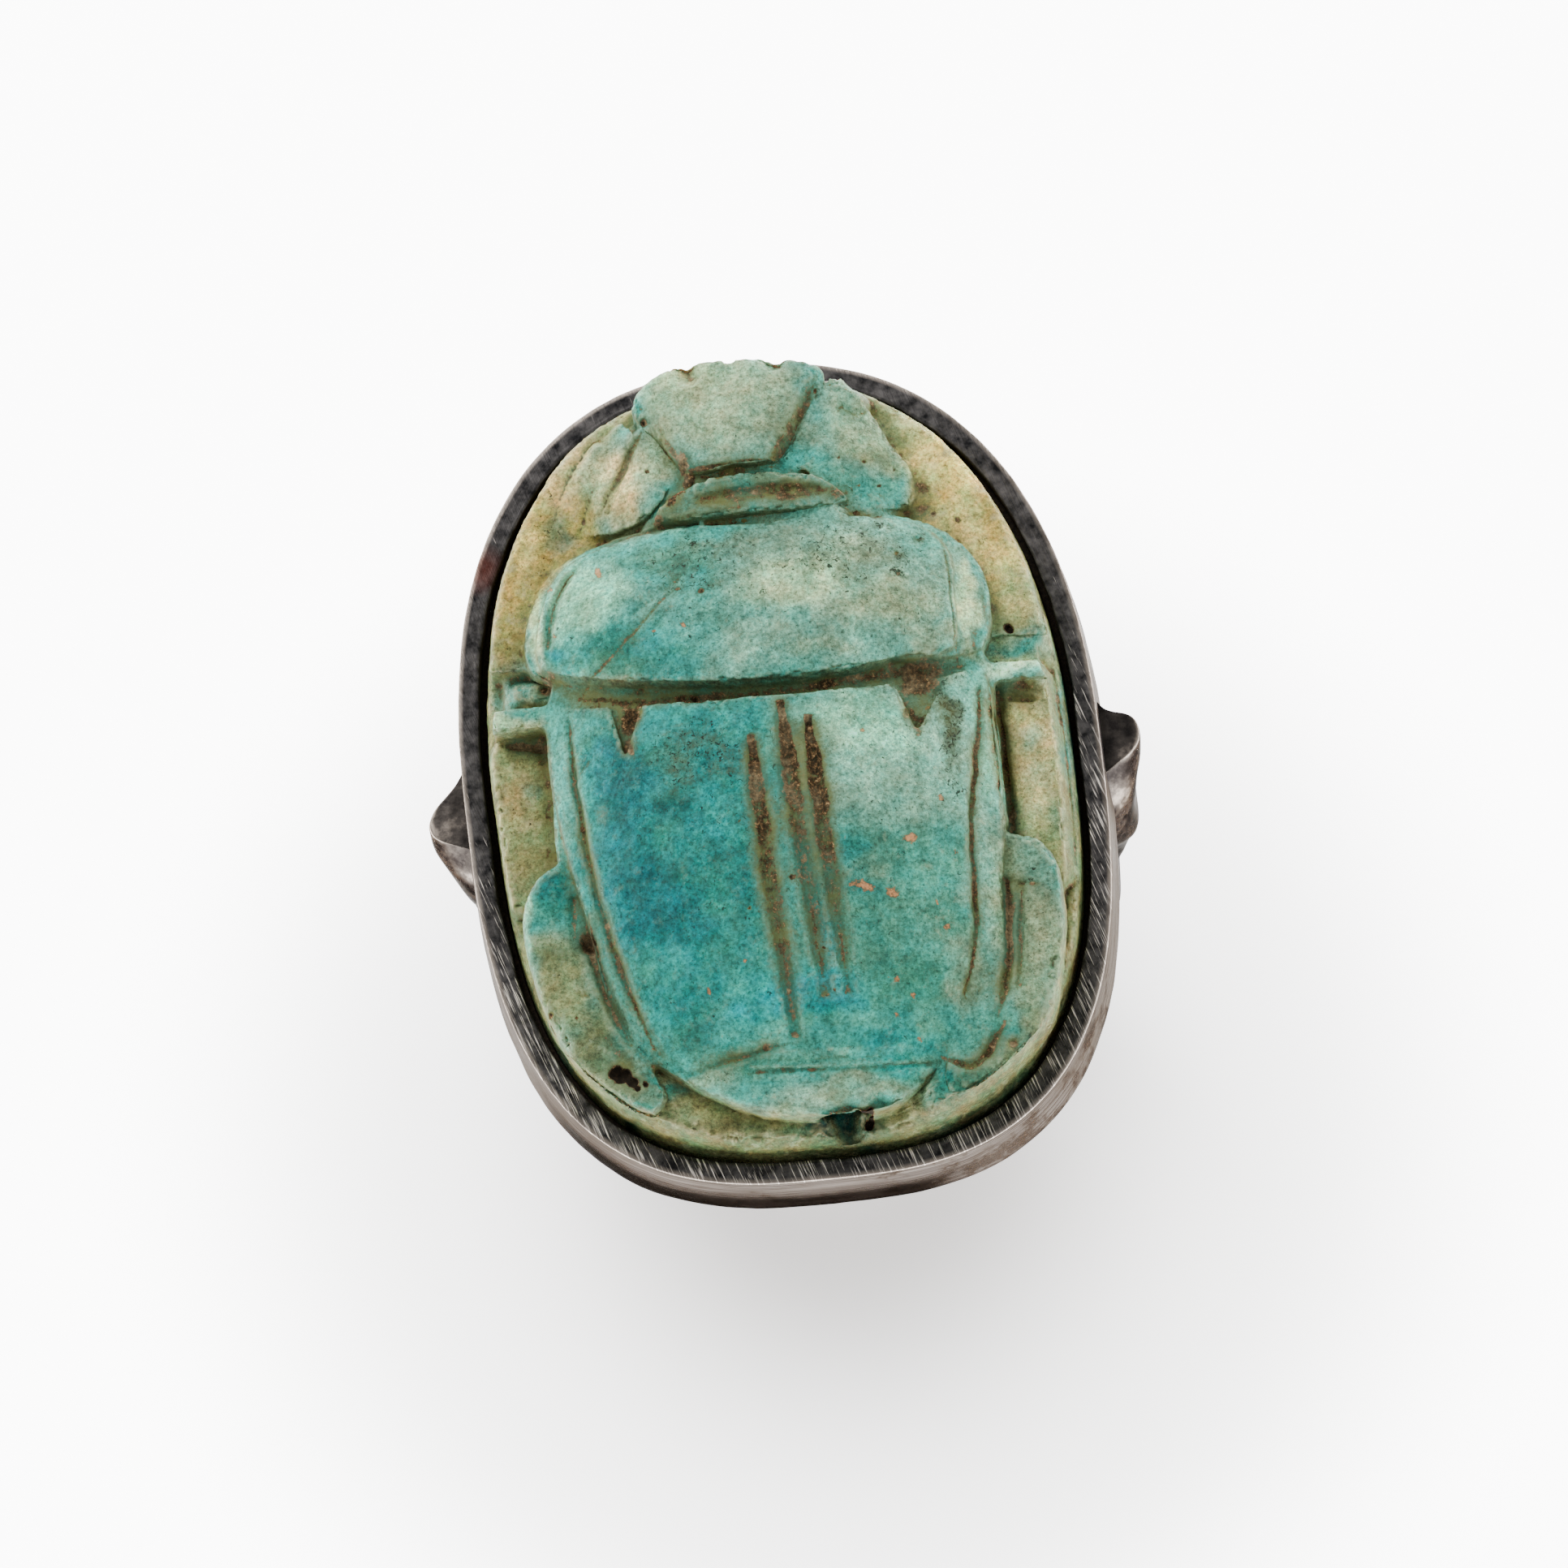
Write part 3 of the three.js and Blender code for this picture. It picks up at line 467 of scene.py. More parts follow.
# The glaze, laid on from first to last: colour, x, y, half-width, half-length and strength
GLAZE_DABS = [
    # wing cases
    ("mid_teal", -2.8, -3.0, 3.6, 6.4, 0.85), ("dull_aqua", 3.4, -6.0, 3.2, 4.2, 0.8),
    ("grey_green", 3.4, -0.9, 3.4, 2.8, 0.95), ("pale_aqua", 2.7, 0.0, 1.7, 1.3, 0.75),
    ("pale_aqua", 0.7, 0.2, 1.3, 0.6, 0.5), ("turquoise", -1.2, 0.3, 2.4, 1.0, 0.6),
    ("deep_teal", -4.6, -0.9, 1.2, 1.7, 0.95), ("deep_teal", -4.3, -4.6, 1.4, 1.9, 0.95),
    ("deep_teal", -3.0, -5.6, 1.5, 0.9, 0.9), ("deep_teal", -4.7, -2.9, 1.3, 1.5, 0.75),
    ("turquoise", -2.4, -2.6, 1.2, 1.0, 0.5), ("grey_dark", -3.2, -1.0, 1.1, 0.8, 0.4),
    ("turquoise", 1.6, -4.0, 1.1, 0.7, 0.7), ("deep_teal", 1.9, -5.0, 1.2, 0.5, 0.5),
    ("grey_dark", 2.3, -4.7, 1.3, 0.7, 0.45), ("bright_aqua", 0.2, -7.9, 1.7, 0.9, 0.95),
    ("bright_aqua", 0.9, -6.2, 0.45, 1.6, 0.7), ("bright_aqua", -1.3, -8.3, 1.0, 0.6, 0.6),
    ("turquoise", -3.4, -7.4, 1.4, 1.0, 0.6), ("aqua", 4.2, -4.2, 1.0, 2.2, 0.6),
    ("grey_green", 5.6, -3.0, 0.45, 5.0, 0.55), ("grey_dark", 5.2, -0.3, 0.38, 1.5, 0.8),
    ("sage", 4.8, -7.8, 0.9, 1.1, 0.5), ("dull_aqua", -1.2, -9.7, 3.0, 0.5, 0.6),
    ("turquoise", 2.4, -9.3, 1.8, 0.5, 0.6), ("aqua", 2.6, -9.95, 1.8, 0.45, 0.7),
    ("grey_green", 0.6, -10.7, 3.0, 0.5, 0.8), ("sage", -3.0, -10.0, 1.2, 0.4, 0.6),
    ("olive", -0.8, -10.95, 1.0, 0.28, 0.6), ("olive", 2.4, -10.65, 0.7, 0.25, 0.6),
    ("moss", -4.6, 1.4, 1.2, 0.4, 0.5), ("sage", 4.6, 1.4, 1.4, 0.5, 0.5),
    # pronotum
    ("grey_green", 2.6, 4.4, 4.0, 3.0, 0.95), ("celadon_pale", 1.0, 4.5, 1.8, 1.1, 0.7),
    ("stone_grey", 3.6, 3.6, 1.9, 1.3, 0.8), ("stone_grey", 2.4, 5.4, 2.0, 0.7, 0.6),
    ("aqua_mid", -2.9, 4.2, 2.0, 2.2, 0.9), ("turquoise", -3.4, 3.0, 1.3, 0.8, 0.5),
    ("dull_aqua", -2.6, 5.7, 2.4, 0.9, 0.8), ("pale_aqua", -5.4, 4.8, 1.4, 1.6, 0.95),
    ("dull_aqua", -4.5, 2.5, 1.3, 0.45, 0.8), ("bright_aqua", -6.1, 3.15, 0.55, 0.3, 1.0),
    ("grey_green", -0.4, 2.6, 1.7, 0.8, 0.9), ("grey_dark", 0.0, 5.9, 2.6, 0.5, 0.5),
    ("aqua", 4.8, 5.7, 0.9, 0.6, 0.8), ("cream", 5.85, 3.8, 0.4, 1.6, 0.85),
    ("cream", -6.75, 4.4, 0.3, 1.6, 0.85), ("leg_teal", -6.35, 4.6, 0.12, 1.2, 0.6),
    ("moss", -5.1, 2.0, 1.3, 0.3, 0.6), ("olive", 6.0, 2.2, 0.6, 0.35, 0.6),
    ("olive", -2.6, 7.0, 2.2, 0.2, 0.55), ("celadon", 4.9, 2.4, 1.0, 0.5, 0.5),
    ("sage", 1.6, 2.3, 1.6, 0.3, 0.5),
    # head, clypeus and cheeks
    ("celadon", -0.4, 10.2, 2.8, 1.9, 0.95), ("celadon_pale", -2.0, 11.0, 1.3, 1.2, 0.8),
    ("sage_deep", 1.0, 10.1, 1.1, 1.3, 0.8), ("aqua", 0.5, 8.9, 1.4, 0.6, 0.65),
    ("sand", -1.3, 10.9, 0.9, 0.5, 0.3), ("moss", 0.2, 7.6, 2.8, 0.6, 0.85),
    ("mid_teal", -0.6, 7.7, 1.0, 0.35, 0.6), ("sage", 3.2, 9.2, 1.5, 1.5, 0.95),
    ("grey_green", 2.9, 9.9, 1.0, 0.8, 0.6), ("aqua", 3.2, 7.5, 1.2, 0.6, 0.7),
    ("olive", 3.4, 8.5, 1.0, 0.35, 0.65), ("olive", 4.2, 8.1, 0.4, 0.5, 0.6),
    ("tan", -3.8, 8.5, 1.4, 1.8, 0.95), ("celadon", -3.0, 9.2, 0.7, 0.9, 0.7),
    ("aqua", -2.9, 7.8, 0.6, 0.5, 0.6), ("moss", -2.1, 7.2, 0.8, 0.35, 0.6),
    ("turquoise", 1.9, 10.2, 0.4, 0.7, 0.5),
    # legs and middle bars
    ("leg_teal", -6.9, -3.6, 1.1, 1.0, 0.95), ("aqua_mid", -6.3, -0.8, 0.5, 2.4, 0.8),
    ("olive", -6.7, -5.6, 1.1, 0.9, 0.95), ("olive_tan", -6.8, -6.9, 1.0, 1.3, 0.9),
    ("olive", -5.9, -8.6, 1.3, 1.2, 0.95), ("olive_tan", -5.0, -9.6, 1.3, 0.8, 0.8),
    ("mid_teal", -5.5, -7.4, 0.35, 1.5, 0.7), ("mid_teal", -4.3, -9.5, 1.1, 0.4, 0.7),
    ("pale_aqua", -7.75, -4.8, 0.18, 1.6, 0.7), ("aqua", -6.9, -8.3, 0.3, 0.5, 0.6),
    ("moss", -6.0, -4.7, 0.8, 0.5, 0.7), ("sage", 6.7, -6.0, 1.3, 3.6, 0.95),
    ("celadon", 7.3, -6.4, 0.4, 1.6, 0.5), ("pale_aqua", 6.2, -0.6, 0.5, 2.2, 0.8),
    ("sage_deep", 6.3, -3.4, 0.7, 0.5, 0.6), ("olive", 5.6, -10.2, 1.0, 0.6, 0.7),
    ("aqua", 3.8, -10.3, 0.9, 0.4, 0.7), ("sage", -1.9, 10.2, 1.4, 1.6, 0.55),
    ("celadon", -0.2, 10.5, 1.6, 1.4, 0.5), ("tan", -1.65, 11.3, 0.35, 0.5, 0.7),
    ("tan", 1.0, 11.6, 0.3, 0.3, 0.6), ("sage", -2.7, 9.7, 0.5, 1.2, 0.6),
    ("celadon", 3.1, 9.4, 0.8, 0.9, 0.6), ("olive", 4.3, 8.3, 0.6, 0.45, 0.5),
    ("sage", 3.9, 9.0, 0.9, 0.6, 0.5), ("olive", 5.9, -10.0, 0.6, 0.8, 0.75),
    ("moss", 4.9, -10.9, 0.9, 0.5, 0.7), ("olive", 6.6, -9.1, 0.5, 0.8, 0.6),
    ("turquoise", 2.7, -9.9, 0.8, 0.5, 0.6), ("cream", -7.5, 1.6, 0.9, 0.3, 0.5),
    ("ochre_deep", 6.1, -9.65, 0.3, 0.3, 0.7), ("sage", 6.7, -8.6, 0.5, 1.2, 0.6),
    ("turquoise", 3.9, -10.4, 0.5, 0.4, 0.8), ("mid_teal", 4.4, -11.2, 0.5, 0.3, 0.5),
    ("sage", 1.2, -10.4, 1.2, 0.3, 0.6), ("olive", 0.9, -10.75, 0.9, 0.2, 0.6),
    ("celadon", 7.1, 1.9, 1.1, 0.4, 0.8), ("celadon_pale", -7.6, 1.6, 1.0, 0.4, 0.85),
    ("olive", -5.9, -7.8, 0.9, 0.9, 0.7), ("mid_teal", -5.2, -7.9, 0.3, 1.2, 0.6),
    ("olive", 7.65, -7.3, 0.3, 1.2, 0.6), ("olive", 6.95, -9.3, 0.4, 0.8, 0.65),
    ("moss", 5.7, -10.6, 0.9, 0.32, 0.6), ("olive", 4.2, -11.3, 0.8, 0.28, 0.5),
]

# The low ledges round the beetle, where most of the glaze has gone
LEDGE_DABS = [
    ("ochre", -6.6, 7.4, 2.6, 4.2, 0.95), ("tan", -5.4, 9.4, 1.3, 1.6, 0.8),
    ("sand", -6.9, 7.0, 0.5, 1.6, 0.5), ("ochre_deep", -7.9, 5.0, 0.5, 2.4, 0.6),
    ("moss", -5.9, 7.4, 0.6, 0.8, 0.85), ("mid_teal", -5.6, 7.2, 0.35, 0.4, 0.5),
    ("celadon", -4.6, 9.0, 0.6, 1.3, 0.5), ("turquoise", -7.7, 3.0, 0.7, 0.6, 0.7),
    ("ochre", 6.0, 7.2, 2.4, 4.2, 0.9), ("sand", 6.0, 5.9, 1.2, 2.4, 0.9),
    ("sand", 4.9, 8.8, 0.8, 1.2, 0.8), ("ochre_deep", 6.9, 7.0, 0.4, 2.0, 0.6),
    ("celadon_pale", 4.6, 9.8, 0.6, 0.7, 0.4), ("olive_tan", 7.4, 4.3, 0.5, 1.0, 0.5),
    ("sage", 7.9, 2.6, 0.5, 1.6, 0.8), ("mid_teal", 7.6, 2.8, 0.4, 0.4, 0.5),
    ("tan", 7.2, -0.4, 0.9, 2.4, 0.95), ("sand", 7.2, 0.3, 0.4, 0.6, 0.5),
    ("olive", 7.9, -2.9, 0.5, 0.9, 0.95), ("olive_tan", 7.9, -5.5, 0.5, 2.4, 0.7),
    ("mid_teal", 8.5, 0.2, 0.3, 3.2, 0.85), ("ochre_deep", 7.7, -8.2, 0.4, 1.8, 0.8),
    ("olive", 7.0, -9.6, 0.9, 0.8, 0.8), ("turquoise", 7.4, 2.5, 0.8, 0.35, 0.8),
    ("dark_teal", -6.7, 2.6, 0.6, 0.3, 0.8), ("dark_soil", -6.6, -9.3, 0.5, 1.6, 0.95),
    ("dark_soil", -7.3, -8.1, 0.25, 0.6, 0.95), ("dark_soil", -5.4, -10.5, 0.6, 0.3, 0.9),
    ("olive_tan", -7.5, -1.0, 1.3, 3.0, 0.9), ("tan", -7.7, -0.3, 0.7, 1.2, 0.5),
    ("aqua", -7.2, -0.2, 0.4, 0.35, 0.5), ("moss", -7.0, 0.3, 0.5, 0.5, 0.4),
    ("olive", -7.9, -3.6, 0.6, 1.5, 0.7), ("olive", -6.8, -7.8, 1.6, 2.2, 0.85),
    ("aqua", -7.0, -8.2, 0.4, 0.4, 0.5), ("olive_tan", -6.2, -8.8, 0.8, 0.8, 0.6),
    ("mid_teal", -4.4, -9.9, 1.3, 0.35, 0.75), ("olive", -2.6, -11.1, 2.6, 0.4, 0.8),
    ("olive_tan", -3.0, -11.3, 1.4, 0.22, 0.7), ("sage", -0.6, -11.4, 1.0, 0.3, 0.7),
    ("moss", 4.6, -11.2, 1.8, 0.5, 0.7), ("dark_teal", 1.3, -11.3, 1.5, 0.6, 0.95),
    ("moss", 7.0, -8.6, 0.9, 1.4, 0.85), ("aqua", 4.4, -11.5, 0.8, 0.2, 0.5),
    ("olive", 0.2, -11.95, 0.6, 0.22, 0.8), ("mid_teal", 6.4, 2.6, 0.4, 0.5, 0.6),
    ("deep_teal", 0.9, -11.1, 1.3, 0.6, 0.8), ("dark_teal", 1.2, -10.9, 0.9, 0.35, 0.8),
    ("dark_teal", 0.9, -11.25, 1.5, 0.5, 0.85), ("olive", 2.9, -11.4, 0.6, 0.3, 0.6),
    ("ochre_deep", 7.3, -8.8, 0.4, 1.0, 0.6), ("olive_tan", 6.6, -9.9, 0.6, 0.6, 0.6),
    ("celadon", 7.2, -0.2, 0.3, 0.4, 0.7), ("umber", 6.42, -0.6, 0.22, 2.2, 0.75),
    ("moss", 6.0, -10.7, 1.4, 0.7, 0.7), ("olive", 7.6, -6.6, 0.4, 2.0, 0.5),
    ("umber", 7.75, -6.2, 0.35, 1.4, 0.7), ("olive", 7.5, -7.8, 0.35, 0.9, 0.7),
    ("umber", 6.9, -9.2, 0.45, 0.8, 0.75), ("moss", 5.9, -10.3, 0.8, 0.45, 0.7),
    ("umber", 4.9, -11.0, 0.9, 0.35, 0.6), ("moss", 3.9, -11.5, 0.8, 0.3, 0.6),
]

# Where black specks and a dirty veil crowd: x, y, half-width, half-length, strength
SPECK_PATCHES = [
    (4.0, 6.11, 0.3, 0.26, 2.4), (4.55, 5.6, 0.34, 0.3, 2.6), (4.01, 5.2, 0.22, 0.22, 2.2),
    (4.02, 4.5, 0.26, 0.4, 2.2), (-2.8, -0.9, 0.5, 0.4, 1.6), (-1.7, -1.0, 0.3, 0.5, 1.7),
    (-1.5, 5.4, 2.8, 1.5, 1.2), (2.6, 5.2, 2.8, 1.8, 1.2), (5.15, 0.1, 0.5, 1.9, 2.2),
    (5.1, -1.8, 0.4, 1.4, 1.4), (-2.2, -0.6, 2.0, 1.5, 1.3), (-0.4, 4.4, 5.4, 2.2, 0.6),
    (1.2, -0.2, 3.0, 1.6, 0.55), (4.2, 3.2, 1.4, 1.0, 0.9), (1.5, 7.3, 1.6, 0.5, 0.8),
    (1.2, 9.4, 1.0, 1.3, 0.7), (-3.0, -8.8, 1.8, 0.8, 0.6), (-7.6, -1.0, 1.0, 2.6, 0.5),
    (2.0, -5.6, 3.6, 3.6, 0.45), (0.0, 0.0, 10.0, 13.0, 0.5), (3.6, 8.4, 1.0, 0.6, 0.7),
    (-6.6, 7.4, 1.6, 3.0, 0.6), (-5.0, -9.6, 2.2, 1.2, 0.6), (7.2, -5.5, 0.8, 2.6, 0.6),
]

# Where the colour is darker (below 1) or lighter, partly where glaze and dirt lie thicker or thinner
# and partly painted shade and painted light: x, y, half-width, half-length, factor
TONE_AND_PAINTED_LIGHT = [
    (-4.5, -1.1, 1.1, 1.3, 0.82), (-3.9, -4.5, 1.4, 1.7, 0.8), (-3.1, -2.2, 0.8, 0.6, 0.65),
    (2.9, -1.1, 1.3, 1.1, 1.4), (3.1, -7.8, 1.3, 1.0, 0.75), (4.1, -6.7, 0.7, 0.9, 1.2),
    (0.4, -8.5, 1.2, 0.7, 0.85), (-3.1, -8.1, 1.0, 1.1, 0.62), (-2.0, -9.5, 1.1, 0.6, 0.65),
    (2.1, -10.5, 1.8, 0.6, 0.75), (-5.6, 4.3, 0.9, 1.1, 0.75), (-4.5, 3.1, 1.0, 0.8, 0.52),
    (-2.0, 4.9, 1.0, 0.8, 0.72), (1.5, 4.0, 1.1, 0.9, 1.25), (-0.3, 2.1, 1.4, 0.6, 1.45),
    (-0.7, 5.9, 1.3, 0.6, 1.2), (-3.7, 8.9, 0.9, 1.0, 1.4), (5.8, 8.8, 1.1, 1.3, 1.5),
    (7.3, 4.1, 0.9, 1.7, 1.5), (7.1, -2.2, 0.8, 1.3, 1.5), (-6.9, -4.0, 0.9, 0.9, 0.72),
    (-6.9, -6.5, 0.9, 1.1, 0.72), (-4.6, -10.0, 1.4, 0.8, 0.68), (-2.8, -11.3, 2.2, 0.7, 0.68),
    (0.2, -11.6, 2.0, 0.6, 0.66), (4.6, -10.9, 1.8, 0.9, 0.62), (6.0, -9.6, 1.0, 0.9, 0.72),
    (7.3, -5.5, 0.8, 1.3, 0.72), (-5.9, -8.6, 0.9, 1.0, 0.8), (7.2, 1.75, 0.9, 0.5, 2.4),
    (-4.0, 8.6, 0.9, 1.0, 1.3), (5.6, 8.4, 1.2, 1.4, 1.15), (1.0, -11.4, 2.0, 0.7, 0.65),
    (8.3, 1.0, 0.4, 3.0, 1.5), (7.1, -9.0, 0.5, 1.0, 0.75), (5.3, -11.0, 1.0, 0.4, 0.75),
]

# Colours of glaze, dirt and bare stone, judged
PIGMENTS = {
    "leg_teal": "#2a857c", "dark_soil": "#241c13", "dark_teal": "#0c4a48", "deep_teal": "#006f70",
    "turquoise": "#278e88", "mid_teal": "#2c7e76", "aqua": "#539e88", "aqua_mid": "#5aa895",
    "bright_aqua": "#0a9294", "pale_aqua": "#89dab0", "dull_aqua": "#50866f",
    "grey_green": "#7eb89b", "grey_dark": "#5f7c63", "celadon": "#a8c89a",
    "celadon_pale": "#bde0a6", "cream": "#cdeaab", "stone_grey": "#97b084", "sage": "#86a078",
    "sage_deep": "#698f72", "sand": "#dccf7c", "tan": "#bbab70", "ochre": "#c2ac57",
    "ochre_deep": "#a3924a", "olive_tan": "#95a067", "olive": "#77865a", "moss": "#5c7455",
    "umber": "#84714e",
}


def rounded_line(points):
    """The line with its corners cut twice, so that it bends softly."""
    line = np.array(points, float)
    for _ in range(2):
        near, far = line[:-1] * 0.75 + line[1:] * 0.25, line[:-1] * 0.25 + line[1:] * 0.75
        line = np.vstack([line[:1], np.stack([near, far], 1).reshape(-1, 2), line[-1:]])
    return line


def from_line(points, spots):
    """Distance of each spot from the line, and the share of its length at the nearest place."""
    line = rounded_line(points)
    spans = line[1:] - line[:-1]
    lengths = np.maximum(np.linalg.norm(spans, axis=1), 1e-6)
    starts = np.concatenate([[0], np.cumsum(lengths)])[:-1]
    best, share = np.full(len(spots), 1e9), np.zeros(len(spots))
    for start, span, length, before in zip(line[:-1], spans, lengths, starts):
        along = np.clip(((spots - start) @ span) / length ** 2, 0, 1)
        gap = np.linalg.norm(spots - start - along[:, None] * span, axis=1)
        closer = gap < best
        best[closer] = gap[closer]
        share[closer] = (before + along[closer] * length) / lengths.sum()
    return best, share


def dab(spots, x, y, half_width, half_length):
    """1 in the middle of a soft round patch and 0 outside it."""
    reach = np.hypot((spots[:, 0] - x) / half_width, (spots[:, 1] - y) / half_length)
    return 1 - smoothstep(reach, 0.35, 1.15)


def neighbours_mean(values, pairs, counts):
    """For each point, the mean of a value over the points that it shares an edge with."""
    total = np.bincount(pairs[:, 0], values[pairs[:, 1]], len(values))
    total += np.bincount(pairs[:, 1], values[pairs[:, 0]], len(values))
    return total / counts


def edge_pairs(piece):
    """The two points of each edge, and how many edges meet at each point."""
    pairs = np.empty(len(piece.data.edges) * 2, np.int32)
    piece.data.edges.foreach_get("vertices", pairs)
    pairs = pairs.reshape(-1, 2)
    return pairs, np.bincount(pairs.ravel(), minlength=len(piece.data.vertices))


def hollowness(piece, spots, outward, rounds):
    """How far each point lies below (positive) or above its surroundings, in millimetres."""
    pairs, counts = edge_pairs(piece)
    soft = spots.copy()
    for _ in range(rounds):
        soft = np.stack([neighbours_mean(soft[:, axis], pairs, counts) for axis in range(3)], 1)
    return ((soft - spots) * outward).sum(1)


def shape_ledges(piece, spots):
    """Sets the low ledges and the gaps beside the head to the levels that the carver left."""
    before = spots[:, 2].copy()
    free = smoothstep(before, 0.28, 0.5)
    for points, width, first, last, slope in FILLS:
        gap, share = from_line(points, spots[:, :2])
        height = first + (last - first) * share - slope * np.maximum(0, gap - width / 2)
        spots[:, 2] += free * np.maximum(0, height - spots[:, 2])
    for points, width, first, last, soft in LEVELS:
        gap, share = from_line(points, spots[:, :2])
        hold = (1 - smoothstep(gap, width / 2, width / 2 + soft)) * free
        spots[:, 2] += hold * (first + (last - first) * share - spots[:, 2])
    # the clypeus juts out to the rim
    jut = smoothstep(spots[:, 1], 8.6, 10.9) * smoothstep(before, 1.7, 2.4)
    jut *= 1 - smoothstep(np.abs(spots[:, 0] + 0.5), 3.0, 3.5)
    spots[:, 1] += CLYPEUS_JUT * jut
    # four rounds of smoothing where the stone was changed
    changed = np.abs(spots[:, 2] - before) > 0.01
    pairs, counts = edge_pairs(piece)
    for _ in range(4):
        soft_height = neighbours_mean(spots[:, 2], pairs, counts)
        spots[changed, 2] = soft_height[changed]
    return spots


def carve_scarab():
    """The solid's mesh, made fine and even, then cut, worn, soiled and glazed."""
    piece = merged_copy("scarab", "carved_scarab")
    apply_modifier(piece, "REMESH", mode="VOXEL", voxel_size=GRAIN * MM, adaptivity=0.0)
    apply_modifier(piece, "SMOOTH", factor=0.5, iterations=4)
    spots = places(piece)
    in_hole = np.hypot(spots[:, 0] - THREAD_HOLE[0], spots[:, 2] - THREAD_HOLE[1]) < THREAD_HOLE[2]
    hidden = (spots[:, 2] < HIDDEN_BELOW) | (in_hole & (np.abs(spots[:, 1]) < 10))
    edit(piece)
    bpy.ops.mesh.select_mode(type="VERT")
    bpy.ops.mesh.select_all(action="DESELECT")
    leave_edit()
    piece.data.vertices.foreach_set("select", hidden)
    edit(piece)
    bpy.ops.mesh.decimate(ratio=HIDDEN_SHARE)
    leave_edit()

    spots, outward = places(piece), facing(piece)
    plan = spots[:, :2].copy()
    carved = smoothstep(spots[:, 2], -0.3, 0.1)
    upward = smoothstep(outward[:, 2], 0.1, 0.5) * carved

    spots = shape_ledges(piece, spots)
    put_back(piece, spots)
    outward = facing(piece)

    # the hand-cut unevenness of the stone, worn edges and chipped ones
    waves = rough(spots, 2.4, 1, 2)
    lumps = rough(spots, 0.7, 2, 3)
    grit = rough(spots, 0.25, 3, 2)
    edge = np.clip(-hollowness(piece, spots, outward, 12), 0, 0.2) / 0.1
    loss = UNEVENNESS[0] * waves + UNEVENNESS[1] * lumps + UNEVENNESS[2] * grit
    loss -= EDGE_LOSS * np.clip(edge, 0, 1) * np.clip(1.3 * lumps + 1.1 * grit + 0.1, 0, 1)
    spots += outward * (np.minimum(loss, 0.06) * carved)[:, None]

    # lines that taper like a needle, pits and loose soil, all a little out of true
    wander = np.stack([rough(spots, 0.9, 4, 2), rough(spots, 0.9, 5, 2)], 1)
    wobbly = plan + 0.05 * wander
    soil_and_painted_shade = np.zeros(len(spots))
    for points, width, depth, first, last in CUT_LINES:
        gap, share = from_line(points, wobbly)
        needle = np.clip(np.minimum(share, 1 - share) / 0.2, 0.15, 1)
        profile = np.clip(1 - gap / (width / 2 * (0.4 + 0.6 * needle)), 0, 1) ** 0.8
        spots[:, 2] -= depth * profile * needle * upward
        strength = first + (last - first) * share
        soil_and_painted_shade = np.maximum(soil_and_painted_shade, strength * smoothstep(profile, 0.0, 0.55) * upward)
    for x, y, radius, depth, strength in PITS:
        profile = dab(wobbly + 0.3 * radius * wander, x, y, radius, radius)
        spots[:, 2] -= depth * profile * upward
        soil_and_painted_shade = np.maximum(soil_and_painted_shade, strength * profile * carved)
    for x, y, half_width, half_length, strength in SOIL_PATCHES:
        patch = dab(plan + 0.15 * wander, x, y, half_width, half_length)
        soil_and_painted_shade = np.maximum(soil_and_painted_shade, strength * patch * carved)
    spots = keep_inside(spots, "scarab")
    put_back(piece, spots)

    # painted shade: hollows and creases are darkened like the soil, by adding to its mask
    outward = facing(piece)
    hollow = hollowness(piece, spots, outward, 18)
    crease = hollowness(piece, spots, outward, 5)
    soil_and_painted_shade = np.maximum(soil_and_painted_shade, np.clip(hollow / 0.15, 0, 0.6) * carved)
    soil_and_painted_shade = np.maximum(soil_and_painted_shade, np.clip(crease / 0.045 - 0.15, 0, 0.72) * upward)
    for x, y, half_width, half_length in WASHED:
        soil_and_painted_shade *= 1 - 0.85 * dab(plan, x, y, half_width, half_length) * (soil_and_painted_shade < 1.2)
    # the green stain that spreads about a millimetre from the soil and the painted shade
    pairs, counts = edge_pairs(piece)
    halo = np.minimum(soil_and_painted_shade, 1.0)
    for _ in range(HALO_ROUNDS):
        halo = neighbours_mean(halo, pairs, counts)
    chips = np.zeros(len(spots))
    for x, y, half_width, half_length in CHIPS:
        chips = np.maximum(chips, dab(plan + 0.12 * wander, x, y, half_width, half_length) * upward)
    specks = np.zeros(len(spots))
    for x, y, half_width, half_length, strength in SPECK_PATCHES:
        patch = dab(plan + 0.5 * wander, x, y, half_width, half_length)
        specks = np.maximum(specks, strength * patch)

    # the colours, brushed on with ragged outlines: glaze above, bare stone on the ledges
    drift = np.stack([rough(spots, 2.2, 6, 3), rough(spots, 2.2, 7, 3)], 1)
    tint, ledge = (
        np.tile(linear(under)[:3], (len(spots), 1)) for under in (TINT_UNDER, LEDGE_UNDER))
    for layer, dabs in ((tint, GLAZE_DABS), (ledge, LEDGE_DABS)):
        for pigment, x, y, half_width, half_length, strength in dabs:
            softness = min(half_width, half_length)
            brushed = plan + min(0.3, softness) * wander + min(0.55, 0.6 * softness) * drift
            cover = strength * dab(brushed, x, y, half_width, half_length)[:, None]
            layer += cover * (np.array(linear(PIGMENTS[pigment])[:3]) - layer)
    # painted shade on the upright sides
    shaded_flank = (1 - smoothstep(outward[:, 2], 0.35, 0.85)) * carved
